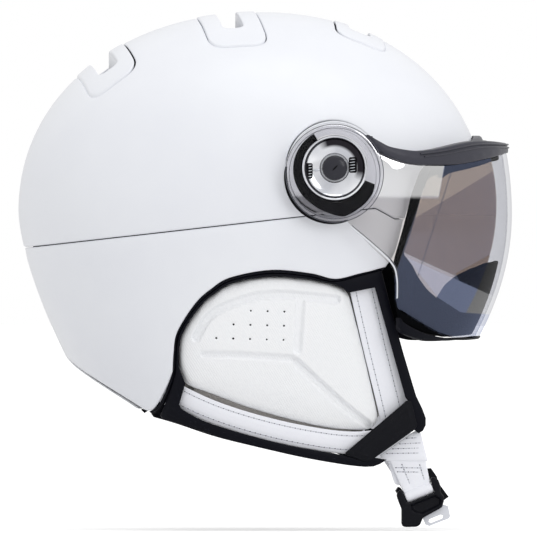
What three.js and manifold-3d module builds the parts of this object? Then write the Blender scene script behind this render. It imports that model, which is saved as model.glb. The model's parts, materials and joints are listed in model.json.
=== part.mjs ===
// A snow-sports helmet with a flip-up visor, soft ear flaps and a leather-covered chin strap, in millimetres.
// +X is forward, +Y is the wearer's left, +Z is up. The origin lies on the mid-plane, under the middle of the
// helmet's length, level with the bottom of the hanging chin-strap buckles.
import * as THREE from "three";
import { mergeVertices } from "three/addons/utils/BufferGeometryUtils.js";
import Module from "manifold-3d";

const wasm = await Module();
wasm.setup();

// ---------------------------------------------------------------- driving dimensions

const RIGHT = -1; // sign of y on the wearer's right
const LEFT = 1;
const SIDES = [
  [RIGHT, "right"],
  [LEFT, "left"],
];

// The outer shell is a stack of super-ellipses: half-lengths forward, rearward and sideways from its axis.
const SHELL = {
  x: -2,
  z: 182,
  front: 130,
  rear: 141,
  half: 106,
  rise: 116,
  planPower: 2.3,
  sidePower: 2.1,
  sideTaper: 0.00011,
  rearTaper: 0.000255,
  skin: 2.6,
};
const FOAM_OUT = 4.3; // depth of the foam liner's faces below the shell's outer face
const FOAM_IN = 25;
const GAP = 0.4; // clearance between neighbouring pieces

const PIVOT = { x: 35, z: 207 };
const PIVOT_BASE_R = 27;
const PIVOT_BORE_R = 8.3;
const EAR_DISC_R = 29.5; // round end of the lens
const LENS = { front: 145, side: 118, flat: 109.5, waist: 181, thick: 2.5, power: 2.3 };

const MATERIALS = {
  shell_white: { color: 0xf2f3f6, roughness: 0.35, metalness: 0 },
  foam: { color: 0x2b2b2e, roughness: 0.9, metalness: 0 },
  black_plastic: { color: 0x1b1c22, roughness: 0.5, metalness: 0 },
  black_rubber: { color: 0x222329, roughness: 0.8, metalness: 0 },
  trim_rubber: { color: 0x48484f, roughness: 0.6, metalness: 0 },
  chrome: { color: 0xdcdfe4, roughness: 0.1, metalness: 1 },
  clear_plastic: { color: 0xe6e8ec, roughness: 0.05, metalness: 0 },
  lens_tint: { color: 0x8d8480, roughness: 0.05, metalness: 0 },
  leather_white: { color: 0xeeeff2, roughness: 0.6, metalness: 0 },
  lining_grey: { color: 0x9b9691, roughness: 0.95, metalness: 0 },
  steel: { color: 0xc9ccd2, roughness: 0.3, metalness: 1 },
};

// ---------------------------------------------------------------- solids and meshes

const helmet = new THREE.Group();

function solidFrom(positions, index) {
  const bare = new THREE.BufferGeometry();
  bare.setAttribute("position", new THREE.BufferAttribute(new Float32Array(positions), 3));
  bare.setIndex(index);
  const merged = mergeVertices(bare, 1e-4);
  const kept = [];
  const all = merged.index.array;
  for (let i = 0; i < all.length; i += 3) {
    const [a, b, c] = [all[i], all[i + 1], all[i + 2]];
    if (a !== b && b !== c && a !== c) kept.push(a, b, c);
  }
  const vertProperties = merged.attributes.position.array;
  const triVerts = new Uint32Array(kept);
  const made = new wasm.Manifold(new wasm.Mesh({ numProp: 3, vertProperties, triVerts }));
  if (made.volume() > 0) return made;
  const turned = new Uint32Array(kept).reverse();
  return new wasm.Manifold(new wasm.Mesh({ numProp: 3, vertProperties, triVerts: turned }));
}

function solidOf(geometry) {
  const indexed = geometry.index ? geometry : mergeVertices(geometry);
  return solidFrom(indexed.attributes.position.array, [...indexed.index.array]);
}

function addMesh(name, solid, material) {
  const mesh = solid.getMesh();
  const positions = new Float32Array(mesh.numVert * 3);
  for (let i = 0; i < mesh.numVert; i++) {
    positions.set(mesh.vertProperties.subarray(i * mesh.numProp, i * mesh.numProp + 3), i * 3);
  }
  const geometry = new THREE.BufferGeometry();
  geometry.setAttribute("position", new THREE.BufferAttribute(positions, 3));
  geometry.setIndex(new THREE.BufferAttribute(mesh.triVerts, 1));
  geometry.computeVertexNormals();
  const made = new THREE.Mesh(geometry, new THREE.MeshStandardMaterial(MATERIALS[material]));
  made.name = name;
  helmet.add(made);
}

// Joins rings of equal length into one closed body. Open rows of rings get ladder-shaped end caps.
function loft(rings, closed = false) {
  const size = rings[0].length;
  const positions = rings.flat().flatMap((p) => [p.x, p.y, p.z]);
  const index = [];
  const spans = closed ? rings.length : rings.length - 1;
  for (let i = 0; i < spans; i++) {
    const a = i * size;
    const b = ((i + 1) % rings.length) * size;
    for (let k = 0; k < size; k++) {
      const next = (k + 1) % size;
      index.push(a + k, a + next, b + next, a + k, b + next, b + k);
    }
  }
  if (!closed) {
    const last = (rings.length - 1) * size;
    for (let k = 0; k < size / 2 - 1; k++) {
      const far = size - 1 - k;
      index.push(k, far, far - 1, k, far - 1, k + 1);
      index.push(last + k, last + far - 1, last + far, last + k, last + k + 1, last + far - 1);
    }
  }
  return solidFrom(positions, index);
}

// A filled outline with holes, whichever way round the points run.
function shapeOf(outline, holes) {
  const loop = (points, clockwise) => {
    const made = points.map(([u, v]) => new THREE.Vector2(u, v));
    return THREE.ShapeUtils.isClockWise(made) === clockwise ? made : made.reverse();
  };
  const shape = new THREE.Shape(loop(outline, false));
  shape.holes = holes.map((hole) => new THREE.Path(loop(hole, true)));
  return shape;
}

// A flat outline, given in (x, z), as a prism between two values of y.
function prismXZ(outline, y0, y1, holes = []) {
  const shape = shapeOf(outline, holes);
  const geometry = new THREE.ExtrudeGeometry(shape, { depth: y1 - y0, bevelEnabled: false });
  geometry.rotateX(Math.PI / 2);
  geometry.translate(0, y1, 0);
  return solidOf(geometry);
}

// A flat outline, given in (x, z), whose two faces are laid on surfaces y(x, z).
function plateOn(outline, faceOut, faceIn, holes = []) {
  const shape = shapeOf(outline, holes);
  const geometry = new THREE.ExtrudeGeometry(shape, { depth: 1, bevelEnabled: false });
  const position = geometry.attributes.position;
  for (let i = 0; i < position.count; i++) {
    const x = position.getX(i);
    const z = position.getY(i);
    const y = position.getZ(i) > 0.5 ? faceOut(x, z) : faceIn(x, z);
    position.setXYZ(i, x, y, z);
  }
  return solidOf(geometry);
}

// The same for an outline in plan, (x, y), with its faces on surfaces z(x, y).
function plateOver(outline, faceTop, faceUnder, holes = []) {
  const shape = shapeOf(outline, holes);
  const geometry = new THREE.ExtrudeGeometry(shape, { depth: 1, bevelEnabled: false });
  const position = geometry.attributes.position;
  for (let i = 0; i < position.count; i++) {
    const x = position.getX(i);
    const y = position.getY(i);
    position.setZ(i, position.getZ(i) > 0.5 ? faceTop(x, y) : faceUnder(x, y));
  }
  return solidOf(geometry);
}

// A turned piece on an axis along y through (x, z). The profile lists [radius, y] and closes on itself.
function turned(x, z, side, profile, segments = 32) {
  const points = profile.map(([r, y]) => new THREE.Vector2(r, y));
  if (points[0].x > 0 || points.at(-1).x > 0) points.push(points[0].clone());
  const geometry = new THREE.LatheGeometry(points, segments);
  if (side === RIGHT) geometry.rotateX(Math.PI);
  geometry.translate(x, 0, z);
  return solidOf(geometry);
}

function box(x0, x1, y0, y1, z0, z1) {
  const geometry = new THREE.BoxGeometry(x1 - x0, y1 - y0, z1 - z0);
  geometry.translate((x0 + x1) / 2, (y0 + y1) / 2, (z0 + z1) / 2);
  return solidOf(geometry);
}

// Points at even steps along a smooth curve through the given points, which are number lists of equal length.
function smooth(points, count) {
  const curve = new THREE.SplineCurve(points.map(([a, b]) => new THREE.Vector2(a, b)));
  return curve.getSpacedPoints(count).map((p) => [p.x, p.y]);
}

// Value at t of the straight-line graph through [t, value] pairs.
function graph(pairs, t) {
  if (t <= pairs[0][0]) return pairs[0][1];
  for (let i = 1; i < pairs.length; i++) {
    const [t0, v0] = pairs[i - 1];
    const [t1, v1] = pairs[i];
    if (t <= t1) return v0 + ((v1 - v0) * (t - t0)) / (t1 - t0);
  }
  return pairs.at(-1)[1];
}

// ---------------------------------------------------------------- the shell's surface

// Half-lengths of the plan section at height z, for the surface lying `inset` under the outer face.
function section(z, inset) {
  const rise = SHELL.rise - inset;
  if (z >= SHELL.z) {
    const up = Math.min(1, (z - SHELL.z) / rise);
    const s = Math.pow(1 - Math.pow(up, SHELL.sidePower), 1 / SHELL.sidePower);
    const [front, rear, half] = [SHELL.front, SHELL.rear, SHELL.half].map((reach) => (reach - inset) * s);
    return { front, rear, half };
  }
  const drop = Math.pow(SHELL.z - z, 1.5);
  const side = 1 - SHELL.sideTaper * drop;
  return {
    front: SHELL.front * side - inset,
    rear: SHELL.rear * (1 - SHELL.rearTaper * drop) - inset,
    half: SHELL.half * side - inset,
  };
}

// |y| of the surface at a place in the side view.
function shellY(x, z, inset = 0) {
  const { front, rear, half } = section(z, inset);
  const along = Math.abs(x - SHELL.x) / (x > SHELL.x ? front : rear);
  return along >= 1 ? 0 : half * Math.pow(1 - Math.pow(along, SHELL.planPower), 1 / SHELL.planPower);
}

// z of the upper surface at a place in plan.
function shellTop(x, y, inset = 0) {
  const length = (x > SHELL.x ? SHELL.front : SHELL.rear) - inset;
  const a = Math.pow(Math.abs(x - SHELL.x) / length, SHELL.planPower);
  const b = Math.pow(Math.abs(y) / (SHELL.half - inset), SHELL.planPower);
  const s = Math.min(1, Math.pow(a + b, 1 / SHELL.planPower));
  return SHELL.z + (SHELL.rise - inset) * Math.pow(1 - Math.pow(s, SHELL.sidePower), 1 / SHELL.sidePower);
}

// The surface's point at a plan angle from straight ahead and a height.
function shellPoint(angle, z, inset = 0) {
  const { front, rear, half } = section(z, inset);
  const c = Math.cos(angle);
  const s = Math.sin(angle);
  const a = Math.pow(Math.abs(c) / (c > 0 ? front : rear), SHELL.planPower);
  const b = Math.pow(Math.abs(s) / half, SHELL.planPower);
  const r = front > 0 ? 1 / Math.pow(a + b, 1 / SHELL.planPower) : 0;
  return new THREE.Vector3(SHELL.x + r * c, r * s, z);
}

// The lower edge of the shell in the side view: round the face, over the ear, then up to the nape.
const FACE_EDGE = [[120.2, 225], [112, 216.5], [93, 204.5], [82, 190.8], [75.3, 173.8], [71, 158.9],
  [65.6, 150.2]];
const EAR_EDGE = [[65.6, 150.2], [50, 146.3], [36.2, 143.4], [21.7, 146.6], [-1, 148.5], [-24.5, 144.2],
  [-36, 137.4], [-45, 129], [-55, 113], [-57, 101], [-57.5, 90]];
const NAPE_EDGE = [[-57.5, 90], [-61, 81], [-66.5, 70.5], [-71, 67.5], [-78, 71.5], [-108, 91], [-119, 103]];

// Plan angle and height along one half of the lower edge, at even steps of true length within each stretch.
function halfEdge(counts) {
  const found = [];
  [FACE_EDGE, EAR_EDGE, NAPE_EDGE].forEach((points, i) => {
    const fine = smooth(points, 80).map(([x, z]) => {
      const y = shellY(x, z);
      return { angle: Math.atan2(y, x - SHELL.x), z };
    });
    const walk = [0];
    for (let k = 1; k < fine.length; k++) {
      const here = shellPoint(fine[k].angle, fine[k].z);
      const step = here.distanceTo(shellPoint(fine[k - 1].angle, fine[k - 1].z));
      walk.push(walk[k - 1] + step);
    }
    for (let k = found.length ? 1 : 0; k <= counts[i]; k++) {
      const want = (walk.at(-1) * k) / counts[i];
      const at = walk.findIndex((w) => w >= want - 1e-9);
      found.push(fine[at]);
    }
  });
  return found;
}

// Height of a point a share t of the way from the crown down to height `bottom`.
function heightAt(t, bottom, inset) {
  const rise = SHELL.rise - inset;
  const quarter = (Math.PI / 2) * rise;
  if (bottom >= SHELL.z) return SHELL.z + rise * Math.cos(t * Math.acos((bottom - SHELL.z) / rise));
  const run = t * (quarter + SHELL.z - bottom);
  return run <= quarter ? SHELL.z + rise * Math.cos(run / rise) : SHELL.z - (run - quarter);
}

// A dome between two insets, cut off at the lower edge.
function dome(outer, inner, counts, rows) {
  const half = halfEdge(counts);
  const mirrored = half.slice(1, -1).reverse().map(({ angle, z }) => ({ angle: -angle, z }));
  const rings = [...half, ...mirrored].map(({ angle, z }) => {
    const column = (inset) =>
      Array.from({ length: rows + 1 }, (_, k) => shellPoint(angle, heightAt(k / rows, z, inset), inset));
    return [...column(outer), ...column(inner).reverse()];
  });
  return loft(rings, true);
}

// A pad lying under the foam: a patch of the dome between two plan angles and two heights.
function domePatch(angle0, angle1, columns, low, high, outer, inner, rows = 2) {
  const rings = Array.from({ length: columns + 1 }, (_, i) => {
    const angle = angle0 + ((angle1 - angle0) * i) / columns;
    const zAt = (k) => low(angle) + ((high(angle) - low(angle)) * k) / rows;
    const column = (inset) => Array.from({ length: rows + 1 }, (_, k) => shellPoint(angle, zAt(k), inset));
    return [...column(outer), ...column(inner).reverse()];
  });
  return loft(rings);
}

// ---------------------------------------------------------------- shells, foam and vents

// Height of the joint line between the upper and lower shell, which drops ahead of the visor pivot.
const seamZ = (x) => (x < 60 ? 177.5 + 0.112 * x : 184.2 - 0.54 * (x - 60));
const SEAM_GAP = 0.3;

function seamRegion(above) {
  const shift = above ? SEAM_GAP : -SEAM_GAP;
  const far = above ? 330 : -10;
  const line = [-170, 60, 170].map((x) => [x, seamZ(x) + shift]);
  return prismXZ([...line, [170, far], [-170, far]], -140, 140);
}

// Each vent frame is a rounded rectangle in plan whose long edges bow forward at the sides.
const VENTS = [
  { name: "rear", x: -96, length: 26, width: 58, holeLength: 11, holeWidth: 44, bow: 7 },
  { name: "top", x: -23, length: 33, width: 62, holeLength: 12, holeWidth: 45, bow: 6 },
  { name: "front", x: 54, length: 28, width: 43, holeLength: 12, holeWidth: 27, bow: 0 },
];
const FLANGE = 2;
const COLLAR_WALL = 1.8;
const COLLAR_DEPTH = 14;
const GRILLE_UP = 2.2; // the grille's top above the collar's lower end
const GRILLE_THICK = 1.4;

// A vent's rounded rectangle in plan, grown by `grow` all round. Every outline has the same number of points.
function ventOutline(vent, length, width, corner, grow) {
  const steps = 6;
  const cornerSteps = 3;
  const a = length / 2 + grow;
  const b = width + grow;
  const r = corner + grow;
  const points = [];
  const line = (x0, y0, x1, y1, n) => {
    for (let i = 0; i < n; i++) points.push([x0 + ((x1 - x0) * i) / n, y0 + ((y1 - y0) * i) / n]);
  };
  const arc = (cx, cy, from) => {
    for (let i = 0; i < cornerSteps; i++) {
      const t = from + (Math.PI / 2) * (i / cornerSteps);
      points.push([cx + r * Math.cos(t), cy + r * Math.sin(t)]);
    }
  };
  line(a, -b + r, a, b - r, steps);
  arc(a - r, b - r, 0);
  line(a - r, b, -a + r, b, 1);
  arc(-a + r, b - r, Math.PI / 2);
  line(-a, b - r, -a, -b + r, steps);
  arc(-a + r, -b + r, Math.PI);
  line(-a + r, -b, a - r, -b, 1);
  arc(a - r, -b + r, Math.PI * 1.5);
  return points.map(([x, y]) => [vent.x + x + vent.bow * (y / vent.width) ** 2, y]);
}

const flangeOutline = (vent, grow) => ventOutline(vent, vent.length, vent.width, 6, grow);
const holeOutline = (vent, grow) => ventOutline(vent, vent.holeLength, vent.holeWidth, 3, grow);

function makeVent(vent) {
  const rim = flangeOutline(vent, 0);
  const hole = holeOutline(vent, 0);
  const wall = holeOutline(vent, COLLAR_WALL);
  const rings = rim.map((edge, i) => {
    const at = ([x, y], inset, drop = 0) => new THREE.Vector3(x, y, shellTop(x, y, inset) - drop);
    return [
      at(edge, 0), at(hole[i], 0), at(hole[i], 0, COLLAR_DEPTH),
      at(wall[i], 0, COLLAR_DEPTH), at(wall[i], FLANGE), at(edge, FLANGE),
    ];
  });
  addMesh(`vent_frame_${vent.name}`, loft(rings, true), "shell_white");
  const slots = [-0.75, -0.25, 0.25, 0.75].map((share) => {
    const half = vent.holeWidth / 4 - 3.4;
    const mid = share * vent.holeWidth * 0.96;
    const x = vent.x + vent.bow * (mid / vent.width) ** 2;
    const reach = vent.holeLength / 2 - 2.4;
    const [rear, front] = [x - reach, x + reach];
    return [[rear, mid - half], [front, mid - half], [front, mid + half], [rear, mid + half]];
  });
  const top = (x, y) => shellTop(x, y) - COLLAR_DEPTH + GRILLE_UP;
  const grille = plateOver(holeOutline(vent, -GAP), top, (x, y) => top(x, y) - GRILLE_THICK, slots);
  addMesh(`vent_grille_${vent.name}`, grille, "black_plastic");
}

function ventCut(outline) {
  return plateOver(outline, () => 330, () => 200);
}

function pivotCut(from) {
  const profile = [[0, from], [PIVOT_BASE_R + 2 * GAP, from], [PIVOT_BASE_R + 2 * GAP, 130], [0, 130]];
  return turned(PIVOT.x, PIVOT.z, RIGHT, profile, 24).add(turned(PIVOT.x, PIVOT.z, LEFT, profile, 24));
}

function makeShells() {
  let skin = dome(0, SHELL.skin, [6, 13, 6], 9).subtract(pivotCut(85));
  const lower = skin.intersect(seamRegion(false));
  skin = skin.intersect(seamRegion(true));
  for (const vent of VENTS) skin = skin.subtract(ventCut(flangeOutline(vent, GAP)));
  addMesh("shell_upper", skin, "shell_white");
  addMesh("shell_lower", lower, "shell_white");
}

// ---------------------------------------------------------------- fit system at the nape

const CRADLE = { x: -19, yoke: 73, thick: 2.2, pinX: -60, pinZ: 115, pinR: 2.4 };
const DIAL = { z: 112, back: -112.5, front: -104, r: 13, shaft: 3.6, pitch: 5, teeth: 10 };
const BAND = { inner: 75.9, outer: 77.5, height: 4.2, reach: 0.22, end: 1.02 };
const PINION_X = [-96.8, -94.6];

// A band bent round the cradle's vertical axis. Angles are measured from straight back; the left is positive.
function arcBand(r0, r1, from, to, columns, low, high) {
  const rings = Array.from({ length: columns + 1 }, (_, i) => {
    const t = from + ((to - from) * i) / columns;
    const at = (r, z) => new THREE.Vector3(CRADLE.x - r * Math.cos(t), r * Math.sin(t), z);
    return [at(r1, low(t)), at(r1, high(t)), at(r0, high(t)), at(r0, low(t))];
  });
  return loft(rings);
}

function makeFitSystem() {
  const outer = CRADLE.yoke + CRADLE.thick;
  const armHalf = (t) => 11 - 4 * Math.min(1, Math.abs(t) / 0.8);
  const middle = (t) => DIAL.z + (CRADLE.pinZ - DIAL.z) * Math.min(1, Math.abs(t) / 0.8);
  const yokeEnd = 1.08;
  const low = (t) => middle(t) - armHalf(t);
  const high = (t) => middle(t) + armHalf(t);
  let yoke = arcBand(CRADLE.yoke, outer, -yokeEnd, yokeEnd, 18, low, high);
  for (const [side] of SIDES) {
    const profile = [[0, 40], [CRADLE.pinR + 0.3, 40], [CRADLE.pinR + 0.3, 90], [0, 90]];
    yoke = yoke.subtract(turned(CRADLE.pinX, CRADLE.pinZ, side, profile, 16));
  }
  addMesh("cradle_yoke", yoke, "black_plastic");
  for (const [side, word] of SIDES) {
    const profile = [[0, 54.2], [4, 54.2], [4, 55.6], [CRADLE.pinR, 55.6], [CRADLE.pinR, 78], [0, 78]];
    addMesh(`cradle_pin_${word}`, turned(CRADLE.pinX, CRADLE.pinZ, side, profile, 12), "steel");
  }
  const pad = arcBand(66, 72.6, -0.55, 0.55, 12, () => 103, () => 121);
  addMesh("nape_pad", pad, "black_rubber");

  const backX = -103.4;
  const plate = box(backX, -98.2, -17, 17, DIAL.z - 13, DIAL.z + 13);
  const shelf = (z0, z1) => box(-98.4, -95.2, -14, 14, z0, z1);
  const housing = plate
    .add(shelf(DIAL.z + 10.8, DIAL.z + 13))
    .add(shelf(DIAL.z - 13, DIAL.z - 10.8))
    .subtract(alongX(DIAL.shaft + 0.3, -106, -97, 20));
  addMesh("dial_housing", housing, "black_plastic");
  addMesh("fit_dial", makeDial(), "black_plastic");

  for (const [side, word] of SIDES) addMesh(`adjuster_band_${word}`, makeBand(side), "black_plastic");
}

// A round bar along x at the dial's height.
function alongX(r, x0, x1, segments) {
  const geometry = new THREE.CylinderGeometry(r, r, x1 - x0, segments);
  geometry.rotateZ(Math.PI / 2);
  geometry.translate((x0 + x1) / 2, 0, DIAL.z);
  return solidOf(geometry);
}

// A round bar along x whose radius follows a formula of the angle, for the grip and the pinion.
function toothedX(radius, x0, x1, segments) {
  const ring = (x) =>
    Array.from({ length: segments }, (_, i) => {
      const t = (2 * Math.PI * i) / segments;
      return new THREE.Vector3(x, radius(i) * Math.cos(t), DIAL.z + radius(i) * Math.sin(t));
    });
  const hub = (x) => new THREE.Vector3(x, 0, DIAL.z);
  const rings = [ring(x0), ring(x1)];
  const columns = rings[0].map((p, i) => [hub(x0), rings[0][i], rings[1][i], hub(x1)]);
  return loft(columns, true);
}

function makeDial() {
  const grip = toothedX((i) => (i % 2 ? DIAL.r : DIAL.r - 0.9), DIAL.back, DIAL.front, 32);
  const shaft = alongX(DIAL.shaft, DIAL.front - 0.5, PINION_X[0] + 0.4, 20);
  const profile = [3.9, 5.6, 5.6, 3.9];
  const pinion = toothedX((i) => profile[i % 4], PINION_X[0], PINION_X[1], DIAL.teeth * 4);
  return grip.add(shaft).add(pinion);
}

// Each adjuster band is a rack. The right one runs over the pinion and the left one under it.
function makeBand(side) {
  const over = side === RIGHT ? 1 : -1;
  const root = DIAL.z + over * 6.2;
  const back = root + over * BAND.height;
  const from = side === RIGHT ? -BAND.end : -BAND.reach;
  const to = side === RIGHT ? BAND.reach : BAND.end;
  const low = Math.min(root, back);
  const high = Math.max(root, back);
  let band = arcBand(BAND.inner, BAND.outer, from, to, 9, () => low, () => high);
  const pitchAngle = (2 * Math.PI) / DIAL.teeth / (BAND.inner / DIAL.pitch);
  const teeth = 5;
  for (let i = -teeth; i < teeth; i++) {
    const t = (i + 0.5) * pitchAngle;
    if (Math.abs(t) > BAND.reach - 0.012) continue;
    const half = 0.0048;
    const tip = DIAL.z + over * 4.5;
    const low = Math.min(tip, root + over * 0.3);
    const high = Math.max(tip, root + over * 0.3);
    band = band.add(arcBand(BAND.inner, BAND.outer, t - half, t + half, 1, () => low, () => high));
  }
  return band;
}

// Room in the foam for the cradle, its dial and its pins.
function cradleCut() {
  const profile = [[0, 40], [80, 40], [80, 134], [0, 134]];
  const geometry = new THREE.LatheGeometry(profile.map(([r, z]) => new THREE.Vector2(r, z)), 26);
  geometry.rotateX(Math.PI / 2);
  geometry.translate(CRADLE.x, 0, 0);
  let cut = solidOf(geometry).intersect(box(-110, -42, -90, 90, 30, 136));
  cut = cut.add(box(-125, -90, -20, 20, 60, 136));
  for (const [side] of SIDES) {
    const hole = [[0, 40], [CRADLE.pinR + 0.4, 40], [CRADLE.pinR + 0.4, 78.6], [0, 78.6]];
    cut = cut.add(turned(CRADLE.pinX, CRADLE.pinZ, side, hole, 16));
  }
  return cut;
}

// The foam stops at the ear opening, so that the flaps can swing.
function earCut() {
  const arch = EAR_EDGE.map(([x, z]) => [x, z + 1]);
  return prismXZ([...arch, [-66, 72], [-66, 20], [100, 20], [100, 151]], -140, 140);
}

// ---------------------------------------------------------------- liner and pads

const PAD_OUT = FOAM_IN + 2.6;
const CROWN_PAD = { r: 38, z: 255.5 };

function makeLiner() {
  let foam = dome(FOAM_OUT, FOAM_IN, [4, 9, 5], 7);
  foam = foam.subtract(pivotCut(PIVOT_BASE.in - GAP)).subtract(cradleCut()).subtract(earCut());
  for (const vent of VENTS) foam = foam.subtract(ventCut(holeOutline(vent, COLLAR_WALL + GAP)));
  addMesh("foam_liner", foam, "foam");

  const rings = Array.from({ length: 28 }, (_, i) => {
    const t = (2 * Math.PI * i) / 28;
    const at = (share, z) => new THREE.Vector3(
      SHELL.x + CROWN_PAD.r * share * Math.cos(t), CROWN_PAD.r * share * Math.sin(t), z);
    const over = (share) => {
      const p = at(share, 0);
      return at(share, shellTop(p.x, p.y, PAD_OUT + 0.6));
    };
    return [over(0), over(0.5), over(1), at(1, CROWN_PAD.z), at(0, CROWN_PAD.z)];
  });
  addMesh("crown_pad", loft(rings.map((ring) => [...ring, ring.at(-1).clone()]), true), "lining_grey");

  const edge = halfEdge([24, 24, 24]).map(({ angle, z }) => [angle, z]);
  const browLow = (angle) => graph(edge, Math.abs(angle)) + 3;
  const browHigh = (a) => browLow(a) + 22;
  addMesh("brow_pad", domePatch(-0.75, 0.75, 12, browLow, browHigh, PAD_OUT, PAD_OUT + 6), "lining_grey");
  for (const [side, word] of SIDES) {
    const pad = domePatch(side * 1.15, side * 2.1, 8, () => 176, () => 214, PAD_OUT, PAD_OUT + 5.5);
    addMesh(`side_pad_${word}`, pad, "lining_grey");
  }
}

// ---------------------------------------------------------------- brow gasket

function makeBrowGasket() {
  const edge = halfEdge([24, 24, 24]).map(({ angle, z }) => [angle, z]);
  const end = 0.66;
  const columns = 20;
  const rings = Array.from({ length: columns + 1 }, (_, i) => {
    const angle = -end + (2 * end * i) / columns;
    const low = graph(edge, Math.abs(angle)) - 4.5;
    const reach = 8 - 3.5 * Math.abs(angle / end);
    const at = (z, inset) => shellPoint(angle, z, inset);
    return [at(low, -reach), at(low + 6, -reach), at(low + 6, -GAP - 0.6), at(low, -GAP - 0.6)];
  });
  addMesh("brow_gasket", loft(rings), "trim_rubber");
}

// ---------------------------------------------------------------- visor

// Half-length of the lens ahead of the shell's axis at height z.
const lensFront = (z) => LENS.front - (z - LENS.waist) ** 2 / (z > LENS.waist ? 400 : 266);

// |y| of the lens in the side view: a wrap-round front that runs into flat side arms.
function lensY(x, z, inset = 0) {
  const a = lensFront(z) - inset;
  const b = LENS.side * (0.5 + (0.5 * lensFront(z)) / LENS.front) - inset;
  const along = Math.min(1, Math.abs(x - SHELL.x) / a);
  const wrap = b * Math.pow(1 - Math.pow(along, LENS.power), 1 / LENS.power);
  const flat = LENS.flat - inset;
  const soft = 6;
  const h = Math.max(soft - Math.abs(wrap - flat), 0) / soft;
  return Math.min(wrap, flat) - (h * h * soft) / 4;
}

// The lens's rear edge in the side view, from the lower corner up to the arm's root: [z, x].
const LENS_REAR = [[108, 73.5], [126, 73.2], [147, 71.8], [154.7, 65.4], [177, 41.5], [185, 38], [240, 38]];
// Lower and upper edges of the lens against the share g of the way from the rear edge to the front: [g, z].
const LENS_LOW = [[0, 126], [0.12, 121.8], [0.29, 116.6], [0.48, 111.9], [0.68, 109.2], [0.86, 109],
  [1, 110]];
const LENS_HIGH = [[0, 228], [0.12, 221], [0.24, 215], [0.34, 211], [0.46, 209], [0.58, 209], [0.71, 210.4],
  [0.87, 213.6], [1, 216.6]];

// A point of the lens: g runs from 0 at the rear edge to 1 at the front centre.
function lensPoint(g, z, side, inset = 0) {
  const a = lensFront(z);
  const rear = (graph(LENS_REAR, z) - SHELL.x) / a;
  const share = rear + (1 - rear) * g;
  const x = SHELL.x + (a - inset) * share;
  return new THREE.Vector3(x, g === 1 ? 0 : side * lensY(x, z, inset), z);
}

// Even-looking steps from the right edge, round the front, to the left edge: [g, side].
function lensColumns(from, count) {
  const half = Array.from({ length: count + 1 }, (_, j) => {
    const start = Math.asin(from);
    return Math.sin(start + ((Math.PI / 2 - start) * j) / count);
  });
  half[count] = 1;
  return [...half.map((g) => [g, RIGHT]), ...half.slice(0, -1).reverse().map((g) => [g, LEFT])];
}

function makeLens() {
  const rows = 5;
  const rings = lensColumns(0, 11).map(([g, side]) => {
    const low = graph(LENS_LOW, g);
    const high = graph(LENS_HIGH, g);
    const column = (inset) =>
      Array.from({ length: rows + 1 }, (_, k) => lensPoint(g, low + ((high - low) * k) / rows, side, inset));
    return [...column(0), ...column(LENS.thick).reverse()];
  });
  let lens = loft(rings);
  const inner = LENS.flat - LENS.thick;
  for (const [side] of SIDES) {
    const disc = [[0, inner], [EAR_DISC_R, inner], [EAR_DISC_R, LENS.flat], [0, LENS.flat]];
    const bore = [[0, 90], [PIVOT_BORE_R, 90], [PIVOT_BORE_R, 130], [0, 130]];
    lens = lens.add(turned(PIVOT.x, PIVOT.z, side, disc, 32));
    lens = lens.subtract(turned(PIVOT.x, PIVOT.z, side, bore, 20));
  }
  addMesh("visor_lens", lens, "lens_tint");

  const trim = lensColumns(0.26, 9).map(([g, side]) => {
    const low = graph(LENS_HIGH, g) + 0.4;
    const at = (z, inset) => {
      const p = lensPoint(g, low - 0.4, side, inset);
      p.z = z;
      return p;
    };
    return [at(low, -1.2), at(low + 6.4, -0.6), at(low + 6.4, 6), at(low, 6)];
  });
  addMesh("visor_top_trim", loft(trim), "trim_rubber");
  addMesh("visor_seal", makeSeal(), "black_rubber");
}

// The foam seal behind the lens: a thin strip over the brow and down each side, and a deep band below with a
// raised middle over the nose. Each edge is listed as [plan angle, z] from the top middle to the bottom.
function makeSeal() {
  const onLens = ([x, z]) => [Math.atan2(lensY(x, z), x - SHELL.x), z];
  const outer = [[0, 215.2], ...[[128, 212.6], [111, 209.4], [93, 207.2]].map(onLens)];
  outer.push(...[[81, 192], [76, 176], [71.9, 158.5], [72.4, 145], [72.8, 130], [75, 117.5]].map(onLens));
  outer.push(...[[88.5, 112], [101, 109.6], [112, 110.5]].map(onLens), [0, 111.5]);
  const inner = [[0, 212.2], ...[[125, 209.4], [112, 206.2], [97.5, 203.2]].map(onLens)];
  inner.push(...[[86.2, 190], [81, 175], [76.6, 158.5], [79, 150.5], [85, 142.7], [92, 135.5]].map(onLens));
  inner.push(...[[97, 131.6], [106, 127], [113, 124.5]].map(onLens), [0, 147]);
  const along = 30;
  const even = (points) => smooth(points.map(([t, z]) => [t * 100, z]), along).map(([t, z]) => [t / 100, z]);
  const o = even(outer);
  const n = even(inner);
  const half = (side) => o.map((p, i) => [
    wrapPoint(p, side, SEAL.out), wrapPoint(n[i], side, SEAL.out),
    wrapPoint(n[i], side, SEAL.in), wrapPoint(p, side, SEAL.in),
  ]);
  const rings = [...half(RIGHT), ...half(LEFT).slice(1, -1).reverse()];
  return loft(rings, true);
}

const SEAL = { out: 4.9, in: 7.5 };

// The lens surface's point at a plan angle, found by halving.
function wrapPoint([angle, z], side, inset) {
  const c = Math.cos(angle);
  const s = Math.sin(angle);
  let near = 0;
  let far = 200;
  for (let k = 0; k < 40; k++) {
    const r = (near + far) / 2;
    const x = SHELL.x + r * c;
    const inside = x - SHELL.x < lensFront(z) - inset && r * s < lensY(x, z, inset) + 1e-9;
    if (inside) near = r;
    else far = r;
  }
  return new THREE.Vector3(SHELL.x + near * c, side * near * s, z);
}

// ---------------------------------------------------------------- visor pivots

const PIVOT_BASE = { in: 96, out: 104 };

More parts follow.
